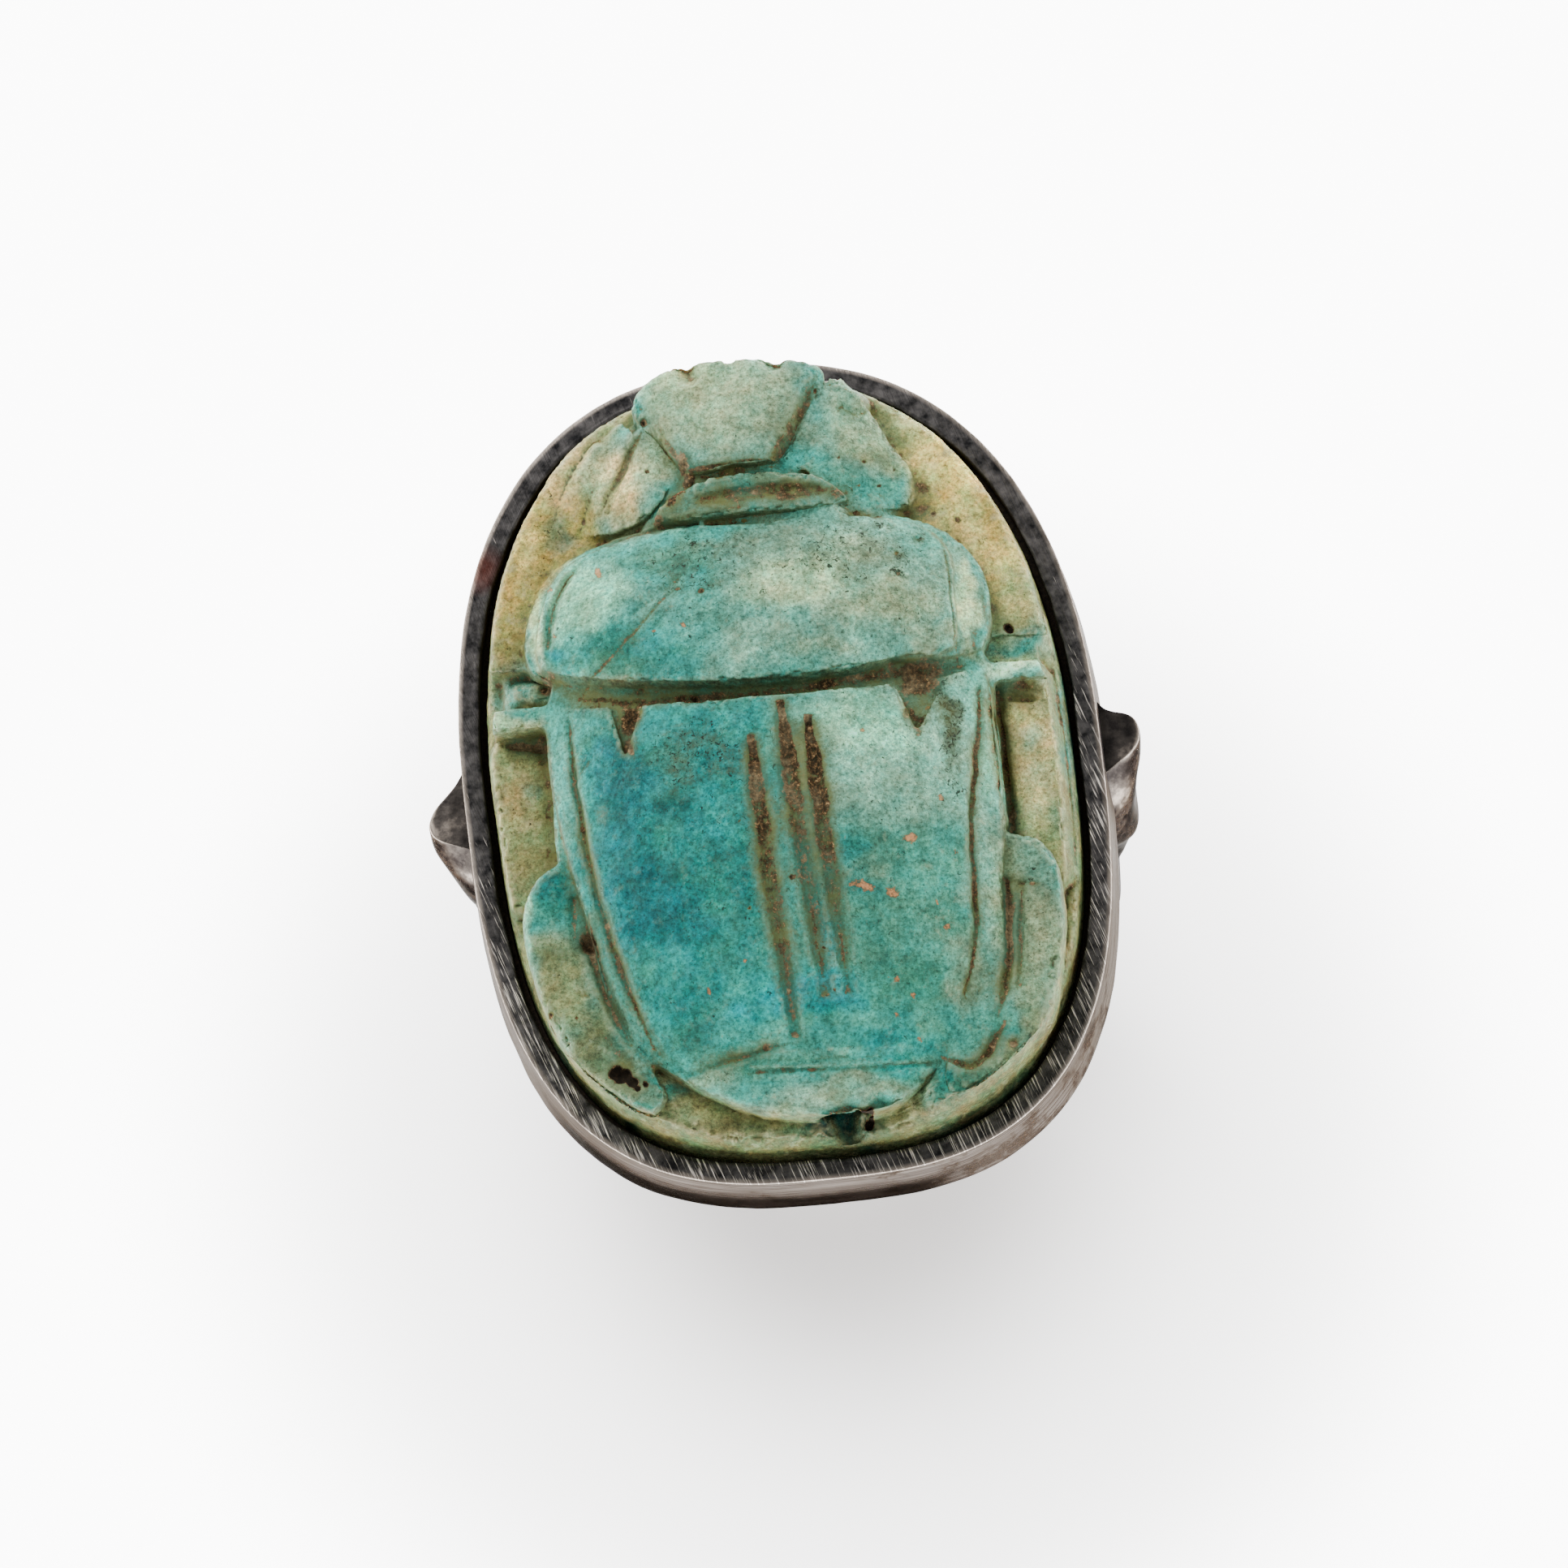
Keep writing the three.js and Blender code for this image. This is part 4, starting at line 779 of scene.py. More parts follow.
    # the rounded outer edge round the tail gets the same painted shade
    half_width, half_length, power = BASE_OVAL
    reach = (np.abs(plan[:, 0] / half_width) ** power
             + np.abs(plan[:, 1] / half_length) ** power) ** (1 / power)
    rounded = (1 - smoothstep(outward[:, 2], 0.6, 0.985)) * smoothstep(-plan[:, 1], 2.5, 4.5)
    shaded_flank = np.maximum(shaded_flank, 0.9 * smoothstep(reach, 0.925, 0.965) * rounded * carved)
    low = 1 - smoothstep(spots[:, 2] + 0.12 * lumps, 1.25, 1.95)
    front = smoothstep(plan[:, 1], 2.6, 3.2) * (1 - smoothstep(spots[:, 2], 1.7, 2.1))
    low = np.maximum(low, front)
    tint = tint + low[:, None] * (ledge - tint)
    # glaze and dirt thicker or thinner, with painted shade and painted light
    for x, y, half_width, half_length, factor in TONE_AND_PAINTED_LIGHT:
        tint *= 1 + (factor - 1) * dab(plan + 0.3 * drift, x, y, half_width, half_length)[:, None]
    # painted shade: the upright sides are darkened towards olive
    tint += (PAINTED_FLANK_SHADE * shaded_flank)[:, None] * (np.array(linear(PAINTED_FLANK_COLOUR)[:3]) - tint)
    # where the glaze pooled deep, it holds almost no red
    deep = 1 - smoothstep(tint[:, 0], 0.03, 0.13)
    tint[:, 0] *= 1 - 0.75 * deep * (1 - shaded_flank)
    edges = np.clip(-crease / 0.04 - 0.2, 0, 1) * carved * (1 - shaded_flank)
    for name, values in (
            ("glaze_and_painted_shade", np.hstack([tint, np.ones((len(spots), 1))])), ("deep", deep),
            ("bare", low * (1 - 0.7 * shaded_flank)), ("soil_and_painted_shade", soil_and_painted_shade), ("halo", halo), ("chips", chips),
            ("specks", specks), ("edges", edges)):
        store(piece, name, values)
    apply_modifier(piece, "DECIMATE", ratio=SEEN_SHARE)
    put_back(piece, keep_inside(places(piece), "scarab"))
    make_active(piece)
    bpy.ops.object.shade_smooth()
    return piece


def glazed_steatite():
    """Steatite, carved, then fired with a copper glaze: a dull, faintly clear turquoise skin,
    worn to the pale stone on its edges, with burial soil left in the cuts."""
    material = new_material("glazed_steatite")
    tree = material.node_tree
    spot = add(tree, "TexCoord").outputs["Object"]
    glaze_and_painted_shade = add(tree, "Attribute", attribute_name="glaze_and_painted_shade").outputs["Color"]
    soil_and_painted_shade, halo, chips, specks, edges, bare, deep = (
        add(tree, "Attribute", attribute_name=name).outputs["Fac"]
        for name in ("soil_and_painted_shade", "halo", "chips", "specks", "edges", "bare", "deep"))

    # the glaze pooled thicker and thinner: clouds of 1.4 mm, mottling of 0.35 mm, grain of 0.12 mm
    clouds = add(tree, "TexNoise",
                 {"Vector": spot, "Scale": 1000 / 1.4, "Detail": 4.0, "Roughness": 0.6})
    cloudy = add(tree, "MapRange", {0: clouds, 1: 0.3, 2: 0.7, 3: 0.68, 4: 1.34})
    mottle = add(tree, "TexNoise",
                 {"Vector": spot, "Scale": 1000 / 0.35, "Detail": 4.0, "Roughness": 0.7})
    mottled = add(tree, "MapRange", {0: mottle, 1: 0.3, 2: 0.7, 3: 0.66, 4: 1.36})
    grain = add(tree, "TexNoise",
                {"Vector": spot, "Scale": 1000 / 0.11, "Detail": 3.0, "Roughness": 0.8})
    grained = add(tree, "MapRange", {0: grain, 1: 0.3, 2: 0.7, 3: 0.35, 4: 1.65})
    both = add(tree, "Math", {0: cloudy, 1: mottled}, operation="MULTIPLY")
    all_three = add(tree, "Math", {0: both, 1: grained}, operation="MULTIPLY")
    shaded = add(tree, "VectorMath", {0: glaze_and_painted_shade, "Scale": all_three}, operation="SCALE")
    # the copper turned greener here and bluer there, in patches of 0.8 mm
    hue = add(tree, "TexNoise",
              {"Vector": spot, "Scale": 1000 / 0.8, "Detail": 6.0, "Roughness": 0.7})
    redder = add(tree, "MapRange", {0: hue, 1: 0.35, 2: 0.65, 3: 0.35, 4: 1.7})
    bluer = add(tree, "MapRange", {0: hue, 1: 0.35, 2: 0.65, 3: 1.12, 4: 0.86})
    hues = add(tree, "CombineXYZ", {0: redder, 1: 1.0, 2: bluer})
    hue_share = add(tree, "MapRange", {0: deep, 1: 0.0, 2: 1.0, 3: 0.42, 4: 1.0})
    hues = add(tree, "Mix", {0: hue_share, 4: (1.0, 1.0, 1.0), 5: hues}, data_type="VECTOR")
    pooled = add(tree, "VectorMath", {0: shaded, 1: hues}, operation="MULTIPLY")

    # thin places and worn edges let the pale stone through
    thin = add(tree, "TexNoise",
               {"Vector": spot, "Scale": 1000 / 0.55, "Detail": 5.0, "Roughness": 0.75})
    thin_reach = add(tree, "Math", {0: bare, 1: 0.05, 2: thin}, operation="MULTIPLY_ADD")
    thin_most = add(tree, "MapRange", {0: deep, 1: 0.0, 2: 1.0, 3: 0.45, 4: 0.16})
    thin_share = add(tree, "MapRange", {0: thin_reach, 1: 0.57, 2: 0.72, 3: 0.0, 4: thin_most})
    broken_edge = add(tree, "Math", {0: edges, 1: thin}, operation="MULTIPLY")
    worn_edge = add(tree, "Math", {0: broken_edge, 1: 0.9, 2: thin_share},
                    operation="MULTIPLY_ADD", use_clamp=True)
    stone = add(tree, "Mix",
                {0: bare, 6: linear("#b4cfa4"), 7: linear("#d8cf9c")}, data_type="RGBA")
    wear_and_painted_light = add(tree, "Mix", {0: worn_edge, 6: pooled, 7: stone}, data_type="RGBA")

    # a greenish veil of fine dirt, in films of about half a millimetre
    film = add(tree, "TexNoise",
               {"Vector": spot, "Scale": 1000 / 0.6, "Detail": 8.0, "Roughness": 0.8})
    film_share = add(tree, "MapRange", {0: film, 1: 0.4, 2: 0.68, 3: 0.0, 4: 0.75})
    veil_share = add(tree, "Math", {0: film_share, 1: specks}, operation="MULTIPLY", use_clamp=True)
    dirt = add(tree, "Mix", {0: bare, 6: linear("#4a5840"), 7: linear("#6f6238")}, data_type="RGBA")
    veiled = add(tree, "Mix", {0: veil_share, 6: wear_and_painted_light, 7: dirt}, data_type="RGBA")

    # black specks of 0.05 to 0.15 mm, crowded where the glaze is dirty
    crowd = add(tree, "Math", {0: clouds, 1: specks}, operation="MULTIPLY")
    speck = add(tree, "TexNoise",
                {"Vector": spot, "Scale": 1000 / 0.14, "Detail": 2.0, "Roughness": 0.65,
                 "Distortion": 1.2})
    speck_reach = add(tree, "Math", {0: crowd, 1: 0.19, 2: speck}, operation="MULTIPLY_ADD")
    pin_share = add(tree, "MapRange", {0: speck_reach, 1: 0.7, 2: 0.77, 3: 0.0, 4: 0.88})
    pinned = add(tree, "Mix", {0: pin_share, 6: veiled, 7: linear("#23251c")}, data_type="RGBA")

    # chips down to the fired body
    ragged_chip = add(tree, "Math", {0: mottle, 1: grain}, operation="ADD")
    chip_noise = add(tree, "Math", {0: ragged_chip, 1: 1.7, 2: -1.75}, operation="MULTIPLY_ADD")
    chip_sum = add(tree, "Math", {0: chips, 1: chip_noise}, operation="ADD")
    chip_share = add(tree, "MapRange", {0: chip_sum, 1: 0.38, 2: 0.6, 3: 0.0, 4: 0.85})
    chip_depth = add(tree, "MapRange", {0: chip_sum, 1: 0.55, 2: 0.95, 3: 0.0, 4: 1.0})
    body = add(tree, "Mix",
               {0: chip_depth, 6: linear("#6f4f30"), 7: linear("#cf8d5c")}, data_type="RGBA")
    chipped = add(tree, "Mix", {0: chip_share, 6: pinned, 7: body}, data_type="RGBA")

    # soil, with the painted shade of hollows and creases: first a green stain, then brown grains of
    # about 0.1 mm with a few pale crumbs
    crumbs = add(tree, "TexNoise",
                 {"Vector": spot, "Scale": 1000 / 0.13, "Detail": 3.0, "Roughness": 0.8})
    larger = add(tree, "Math", {0: film, 1: 1.1, 2: -0.55}, operation="MULTIPLY_ADD")
    gaps = add(tree, "Math", {0: mottle, 1: 1.3, 2: -0.65}, operation="MULTIPLY_ADD")
    gaps = add(tree, "Math", {0: gaps, 1: larger}, operation="ADD")
    ragged = add(tree, "Math", {0: crumbs, 1: 0.8, 2: gaps}, operation="MULTIPLY_ADD")
    lowered = add(tree, "Math", {0: ragged, 1: -0.4}, operation="ADD")
    soil_sum = add(tree, "Math", {0: soil_and_painted_shade, 1: lowered}, operation="ADD")
    spread = add(tree, "Math", {0: halo, 1: 1.5}, operation="MULTIPLY")
    spread = add(tree, "Math", {0: spread, 1: soil_and_painted_shade}, operation="MAXIMUM")
    stain_sum = add(tree, "Math", {0: lowered, 1: 0.45, 2: spread}, operation="MULTIPLY_ADD")
    stain_share = add(tree, "MapRange", {0: stain_sum, 1: 0.08, 2: 0.6, 3: 0.0, 4: 0.82})
    stain_tone = add(tree, "MapRange", {0: clouds, 1: 0.4, 2: 0.6, 3: 0.0, 4: 1.0})
    stain_colour = add(tree, "Mix",
                       {0: stain_tone, 6: linear("#6b6c3c"), 7: linear("#3e5f4a")},
                       data_type="RGBA")
    stained = add(tree, "Mix", {0: stain_share, 6: chipped, 7: stain_colour}, data_type="RGBA")
    brown = add(tree, "ValToRGB", {0: crumbs})
    for stop, shade in ((0.36, "#17110c"), (0.49, "#3d2e1f"), (0.6, "#6b5136"), (0.73, "#c9a878")):
        made = brown.color_ramp.elements.new(stop)
        made.color = linear(shade)
    brown.color_ramp.elements.remove(brown.color_ramp.elements[0])
    brown.color_ramp.elements.remove(brown.color_ramp.elements[-1])
    soil_share = add(tree, "MapRange", {0: soil_sum, 1: 0.5, 2: 0.78, 3: 0.0, 4: 0.95})
    # where it dried out, the soil is a greyish tan
    dry_share = add(tree, "MapRange", {0: clouds, 1: 0.44, 2: 0.6, 3: 0.0, 4: 0.6})
    dry = add(tree, "VectorMath",
              {0: linear("#7c6e52")[:3], "Scale": all_three}, operation="SCALE")
    earth = add(tree, "Mix", {0: dry_share, 6: brown, 7: dry}, data_type="RGBA")
    soiled = add(tree, "Mix", {0: soil_share, 6: stained, 7: earth}, data_type="RGBA")
    dark_share = add(tree, "MapRange", {0: soil_and_painted_shade, 1: 1.15, 2: 1.5, 3: 0.0, 4: 0.92})
    final = add(tree, "Mix", {0: dark_share, 6: soiled, 7: linear("#16120d")}, data_type="RGBA")

    grain_height = add(tree, "Math", {0: mottle, 1: crumbs}, operation="ADD")
    sunk = add(tree, "Math", {0: pin_share, 1: -0.8, 2: grain_height}, operation="MULTIPLY_ADD")
    bump = add(tree, "Bump", {"Height": sunk, "Strength": 0.7, "Distance": 0.00005})
    dullness = add(tree, "MapRange", {0: soil_and_painted_shade, 1: 0.2, 2: 0.8, 3: 0.6, 4: 0.95})
    shader = add(tree, "BsdfPrincipled", {
        "Base Color": final, "Roughness": dullness, "IOR": 1.5,
        "Specular IOR Level": 0.1, "Normal": bump,
        "Subsurface Weight": 0.08, "Subsurface Scale": 0.0004,
    })
    add(tree, "OutputMaterial", {"Surface": shader})
    return material


# The silver

BEZEL_HALF_WIDTH = 9.4
BEZEL_HALF_LENGTH = 12.63
WALL_HEIGHT = 2.1
WALL_FLARE = 0.15           # the foot of the wall stands this far out past its rim
HEAD_END_POWER = 2.38       # how square the oval is at each end, 2 being an ellipse
TAIL_END_POWER = 2.8
OVAL_LEAN = 0.028
OVAL_STEPS = 320
RING_STEP = 0.1             # rings of the wall are first extruded this far apart

# The wall's section, drawn round from its inner foot: inset from the outer face, and depth
WALL_SECTION = [
    (0.62, 2.1), (0.3, 2.1), (0.07, 2.1), (0.02, 2.08), (0.0, 2.03), (0.0, 1.84), (0.0, 1.6),
    (0.0, 1.35), (0.0, 1.1), (0.0, 0.85), (0.0, 0.6), (0.0, 0.35), (0.0, 0.14), (0.0, 0.05),
    (0.015, 0.015), (0.05, 0.0), (0.16, 0.0), (0.27, 0.0), (0.38, 0.0), (0.49, 0.0),
    (0.575, 0.0), (0.61, 0.02), (0.62, 0.06), (0.62, 0.4), (0.62, 0.9), (0.62, 1.4),
]

HOOP_RADIUS = 9.55          # to the middle of the silver
HOOP_THICKNESS = 1.3
ARM_TOP = 5.9               # above the middle of the finger hole
ARM_WIDTH = 3.0
FOOT_WIDTH = 2.5
HOOP_OFFSET = -0.15         # the round part was bent a little to one side
SECTION_FULLNESS = 0.7      # 1 would be half an ellipse, 0 a flat band
ARM_SLIMMING = 0.62         # filed off the outside of the arms
ARM_STEPS, BEND_STEPS = 8, 72

# The buds, as outlines seen from above at seven levels below the rim: each is a row of places
# (along the finger, outward) from the finger's tip side to its knuckle side. The lowest run down
# on the hoop's arms, where cast_shoulder turns them into the arm's own section.
BUD_CUTS = 36
BUD_BACK = 8.95             # how far out the buds' inner face lies
BUD_NARROWING = (1.08, 0.18)    # width over the arm's: above, and how much less at the end
BUD_ON_ARM = (0.09, 0.4)    # how far it stands out from the arm, and how deep its end sinks in
BUD_LEVELS = (-10.5, -8.2, -6.4, -4.8, -3.4, -2.0, -0.85)
LEFT_BUD = [
    [(1.2, 9.0), (1.1, 9.1), (1.0, 9.2), (0.8, 9.3), (0.5, 9.36), (0.2, 9.38), (-0.2, 9.38),
     (-0.5, 9.36), (-0.8, 9.3), (-1.0, 9.2), (-1.1, 9.1), (-1.2, 9.0)],
    [(1.5, 9.0), (1.45, 9.25), (1.3, 9.45), (1.0, 9.58), (0.6, 9.66), (0.2, 9.7), (-0.2, 9.72),
     (-0.7, 9.72), (-1.1, 9.7), (-1.4, 9.62), (-1.6, 9.35), (-1.65, 9.0)],
    [(1.5, 9.0), (1.45, 9.25), (1.3, 9.48), (1.0, 9.62), (0.6, 9.74), (0.2, 9.8), (-0.2, 9.84),
     (-0.7, 9.86), (-1.2, 9.84), (-1.55, 9.72), (-1.8, 9.4), (-1.85, 9.0)],
    [(1.5, 9.0), (1.35, 9.25), (1.1, 9.48), (0.8, 9.66), (0.4, 9.82), (0.0, 9.94), (-0.4, 10.0),
     (-0.9, 9.98), (-1.3, 9.9), (-1.65, 9.76), (-1.9, 9.45), (-2.0, 9.0)],
    [(1.6, 9.0), (1.3, 9.25), (0.9, 9.5), (0.5, 9.8), (0.1, 10.1), (-0.4, 10.28), (-0.8, 10.25),
     (-1.2, 10.12), (-1.55, 9.94), (-1.9, 9.78), (-2.2, 9.45), (-2.4, 9.0)],
    [(1.9, 9.1), (1.5, 9.3), (1.05, 9.52), (0.65, 9.82), (0.3, 10.12), (-0.05, 10.42), (-0.45, 10.6),
     (-0.85, 10.56), (-1.2, 10.34), (-1.6, 10.02), (-2.0, 9.7), (-2.4, 9.0)],
    [(2.1, 9.15), (1.6, 9.3), (1.15, 9.46), (0.75, 9.72), (0.42, 10.05), (0.1, 10.42), (-0.32, 10.62),
     (-0.7, 10.52), (-0.95, 10.2), (-1.1, 9.8), (-1.25, 9.4), (-1.4, 9.0)],
]
RIGHT_BUD = [
    [(1.2, 9.0), (1.1, 9.1), (1.0, 9.2), (0.8, 9.3), (0.5, 9.36), (0.2, 9.38), (-0.2, 9.38),
     (-0.5, 9.36), (-0.8, 9.3), (-1.0, 9.2), (-1.1, 9.1), (-1.2, 9.0)],
    [(1.5, 9.0), (1.45, 9.2), (1.3, 9.36), (1.0, 9.46), (0.6, 9.54), (0.2, 9.58), (-0.2, 9.6),
     (-0.7, 9.6), (-1.1, 9.58), (-1.4, 9.5), (-1.6, 9.3), (-1.65, 9.0)],
    [(1.45, 9.0), (1.4, 9.25), (1.2, 9.5), (0.95, 9.7), (0.6, 9.84), (0.2, 9.92), (-0.2, 9.96),
     (-0.7, 9.98), (-1.15, 9.94), (-1.5, 9.8), (-1.7, 9.45), (-1.8, 9.0)],
    [(1.45, 9.0), (1.3, 9.3), (1.05, 9.6), (0.8, 9.86), (0.45, 10.06), (0.05, 10.18), (-0.35, 10.24),
     (-0.8, 10.27), (-1.25, 10.24), (-1.65, 10.08), (-1.95, 9.6), (-2.1, 9.0)],
    [(1.55, 9.1), (1.25, 9.35), (1.0, 9.6), (0.78, 9.88), (0.52, 10.12), (0.15, 10.2), (-0.25, 10.22),
     (-0.7, 10.2), (-1.2, 10.14), (-1.6, 9.98), (-2.0, 9.55), (-2.2, 9.0)],
    [(1.75, 9.15), (1.4, 9.36), (1.15, 9.56), (1.0, 9.86), (0.88, 10.22), (0.68, 10.46), (0.35, 10.54),
     (-0.1, 10.5), (-0.6, 10.36), (-1.1, 10.1), (-1.6, 9.7), (-2.0, 9.0)],
    [(1.85, 9.2), (1.4, 9.38), (1.12, 9.58), (0.98, 9.9), (0.93, 10.28), (0.76, 10.5), (0.42, 10.6),
     (0.02, 10.55), (-0.35, 10.25), (-0.6, 9.85), (-0.85, 9.5), (-1.1, 9.0)],
]

RIM_STAIN = (-0.0084, 0.0071, 0.0105)   # metres
# The sulphide skin keeps silver from turning bright where it is seen edge-on
TARNISH_TINT = linear("#959390")


def oval_place(turn, inset, depth):
    """A place on the bezel's wall: turn goes round it, inset inwards and depth down."""
    across, along = np.cos(turn), np.sin(turn)
    power = 2 / np.where(along > 0, HEAD_END_POWER, TAIL_END_POWER)
    y = (BEZEL_HALF_LENGTH - inset) * np.sign(along) * np.abs(along) ** power
    x = (BEZEL_HALF_WIDTH - inset) * np.sign(across) * np.abs(across) ** power
    spread = 1 + WALL_FLARE / BEZEL_HALF_WIDTH * depth / WALL_HEIGHT
    return np.stack([(x - OVAL_LEAN * y) * spread, y * spread, -depth * np.ones(len(turn))], 1)


def raise_wall():
    """A circle, extruded once for each place of the wall's section, then set into the oval."""
    deselect_all()
    bpy.ops.mesh.primitive_circle_add(vertices=OVAL_STEPS, radius=BEZEL_HALF_WIDTH * MM)
    piece = bpy.context.object
    piece.name = "silver_wall"
    edit(piece)
    bpy.ops.mesh.select_all(action="SELECT")
    for _ in WALL_SECTION[1:]:
        bpy.ops.mesh.extrude_region_move(TRANSFORM_OT_translate={"value": (0, 0, RING_STEP * MM)})
    leave_edit()

    spots = places(piece)
    # each extruded ring takes its place in the section, drawn round the oval
    turn = np.arctan2(spots[:, 1], spots[:, 0])
    ring = np.rint((spots[:, 2] + RIM_HEIGHT) / RING_STEP).astype(int)
    section = np.array(WALL_SECTION)
    inset, depth = section[ring, 0], section[ring, 1]
    plain = oval_place(turn, inset, depth)

    # hand-hammered strip: the top's inner edge wanders, and the outer face is softly dented
    ring_wave = rough(plain * (1, 1, 0), 5.0, 11, 2)
    fine_wave = rough(plain * (1, 1, 0), 1.1, 12, 3)
    dent = rough(plain * (1, 1, 2.5), 2.2, 13, 3)
    lip = (inset > 0.3) & (depth < 0.3)
    inset = inset + np.where(lip, 0.05 * ring_wave + 0.03 * fine_wave, 0.03 * (inset > 0.3))
    outer = (inset < 0.2) & (depth > 0.1)
    inset = inset + np.where(outer, 0.025 + 0.03 * dent, 0.012 + 0.012 * fine_wave)
    depth = depth + np.where(depth < 0.1, 0.02 + 0.02 * fine_wave, 0)
    put_back(piece, keep_inside(oval_place(turn, inset, depth), "bezel_wall"))

    edit(piece)
    bpy.ops.mesh.select_all(action="DESELECT")
    bpy.ops.mesh.select_mode(type="EDGE")
    bpy.ops.mesh.select_non_manifold()
    bpy.ops.mesh.bridge_edge_loops()
    leave_edit()
    face_outwards(piece)

    drawn_inset, drawn_depth = section[ring, 0], section[ring, 1]
    # painted shade on the lower edge below the tail
    painted_foot_shade = smoothstep(drawn_depth, 0.5, 1.5) * (1 - smoothstep(drawn_inset, 0.2, 0.5))
    painted_foot_shade = painted_foot_shade * smoothstep(-plain[:, 1], 8.0, 11.0) * (1 - smoothstep(plain[:, 0], 2.5, 5.5))
    low_right = smoothstep(plain[:, 0], 1.0, 4.0) * (1 - smoothstep(plain[:, 1], -9.0, -5.0))
    rim_edge = np.exp(-((drawn_inset - 0.02) / 0.05) ** 2) * np.exp(-(drawn_depth / 0.08) ** 2)
    for name, values in (
            ("top", 1 - smoothstep(drawn_depth, 0.02, 0.12)), ("rim_edge", rim_edge),
            ("inside", smoothstep(drawn_inset, 0.57, 0.62)), ("depth", drawn_depth),
            ("tarnish", low_right), ("painted_foot_shade", painted_foot_shade),
            ("file_marks", 1 - smoothstep(plain[:, 1] - 0.25 * plain[:, 0], -4.5, 5.0))):
        store(piece, name, values)

    # millimetres along the strip and across its section, for the marks of the file
    round_steps = np.linspace(-math.pi, math.pi, 721)
    path = oval_place(round_steps, 0, 0)
    travelled = np.concatenate([[0], np.cumsum(np.linalg.norm(np.diff(path, axis=0), axis=1))])
    along = np.interp(turn, round_steps, travelled)
    across = np.concatenate([[0], np.cumsum(np.linalg.norm(np.diff(section, axis=0), axis=1))])
    layer = piece.data.uv_layers.new(name="strip")
    corners = np.empty(len(piece.data.loops), np.int32)
    piece.data.loops.foreach_get("vertex_index", corners)
    u, v = along[corners], across[ring[corners]]
    starts = np.empty(len(piece.data.polygons), np.int32)
    piece.data.polygons.foreach_get("loop_start", starts)
    faces = np.repeat(np.arange(len(starts)), np.diff(np.append(starts, len(corners))))
    highest = np.maximum.reduceat(u, starts)[faces]
    u = np.where(highest - u > travelled[-1] / 2, u + travelled[-1], u)
    highest = np.maximum.reduceat(v, starts)[faces]
    v = np.where(highest - v > across[-1] / 2, v + across[-1], v)
    layer.data.foreach_set("uv", np.stack([u, v], 1).astype(np.float32).ravel())
    make_active(piece)
    bpy.ops.object.shade_smooth_by_angle(angle=math.radians(50))
    return piece


def wear_of(piece, rounds):
    """-1 in hollows, where tarnish stays, up to 1 on ridges, which wear bright."""
    hollow = hollowness(piece, places(piece), facing(piece), rounds)
    return np.clip(-hollow / 0.03, -1, 1)


def hoop_shift(level):
    """How far to the right the hoop lies at these heights above the rim."""
    return HOOP_OFFSET * (1 - smoothstep(level + RIM_HEIGHT, 0.0, 5.0))


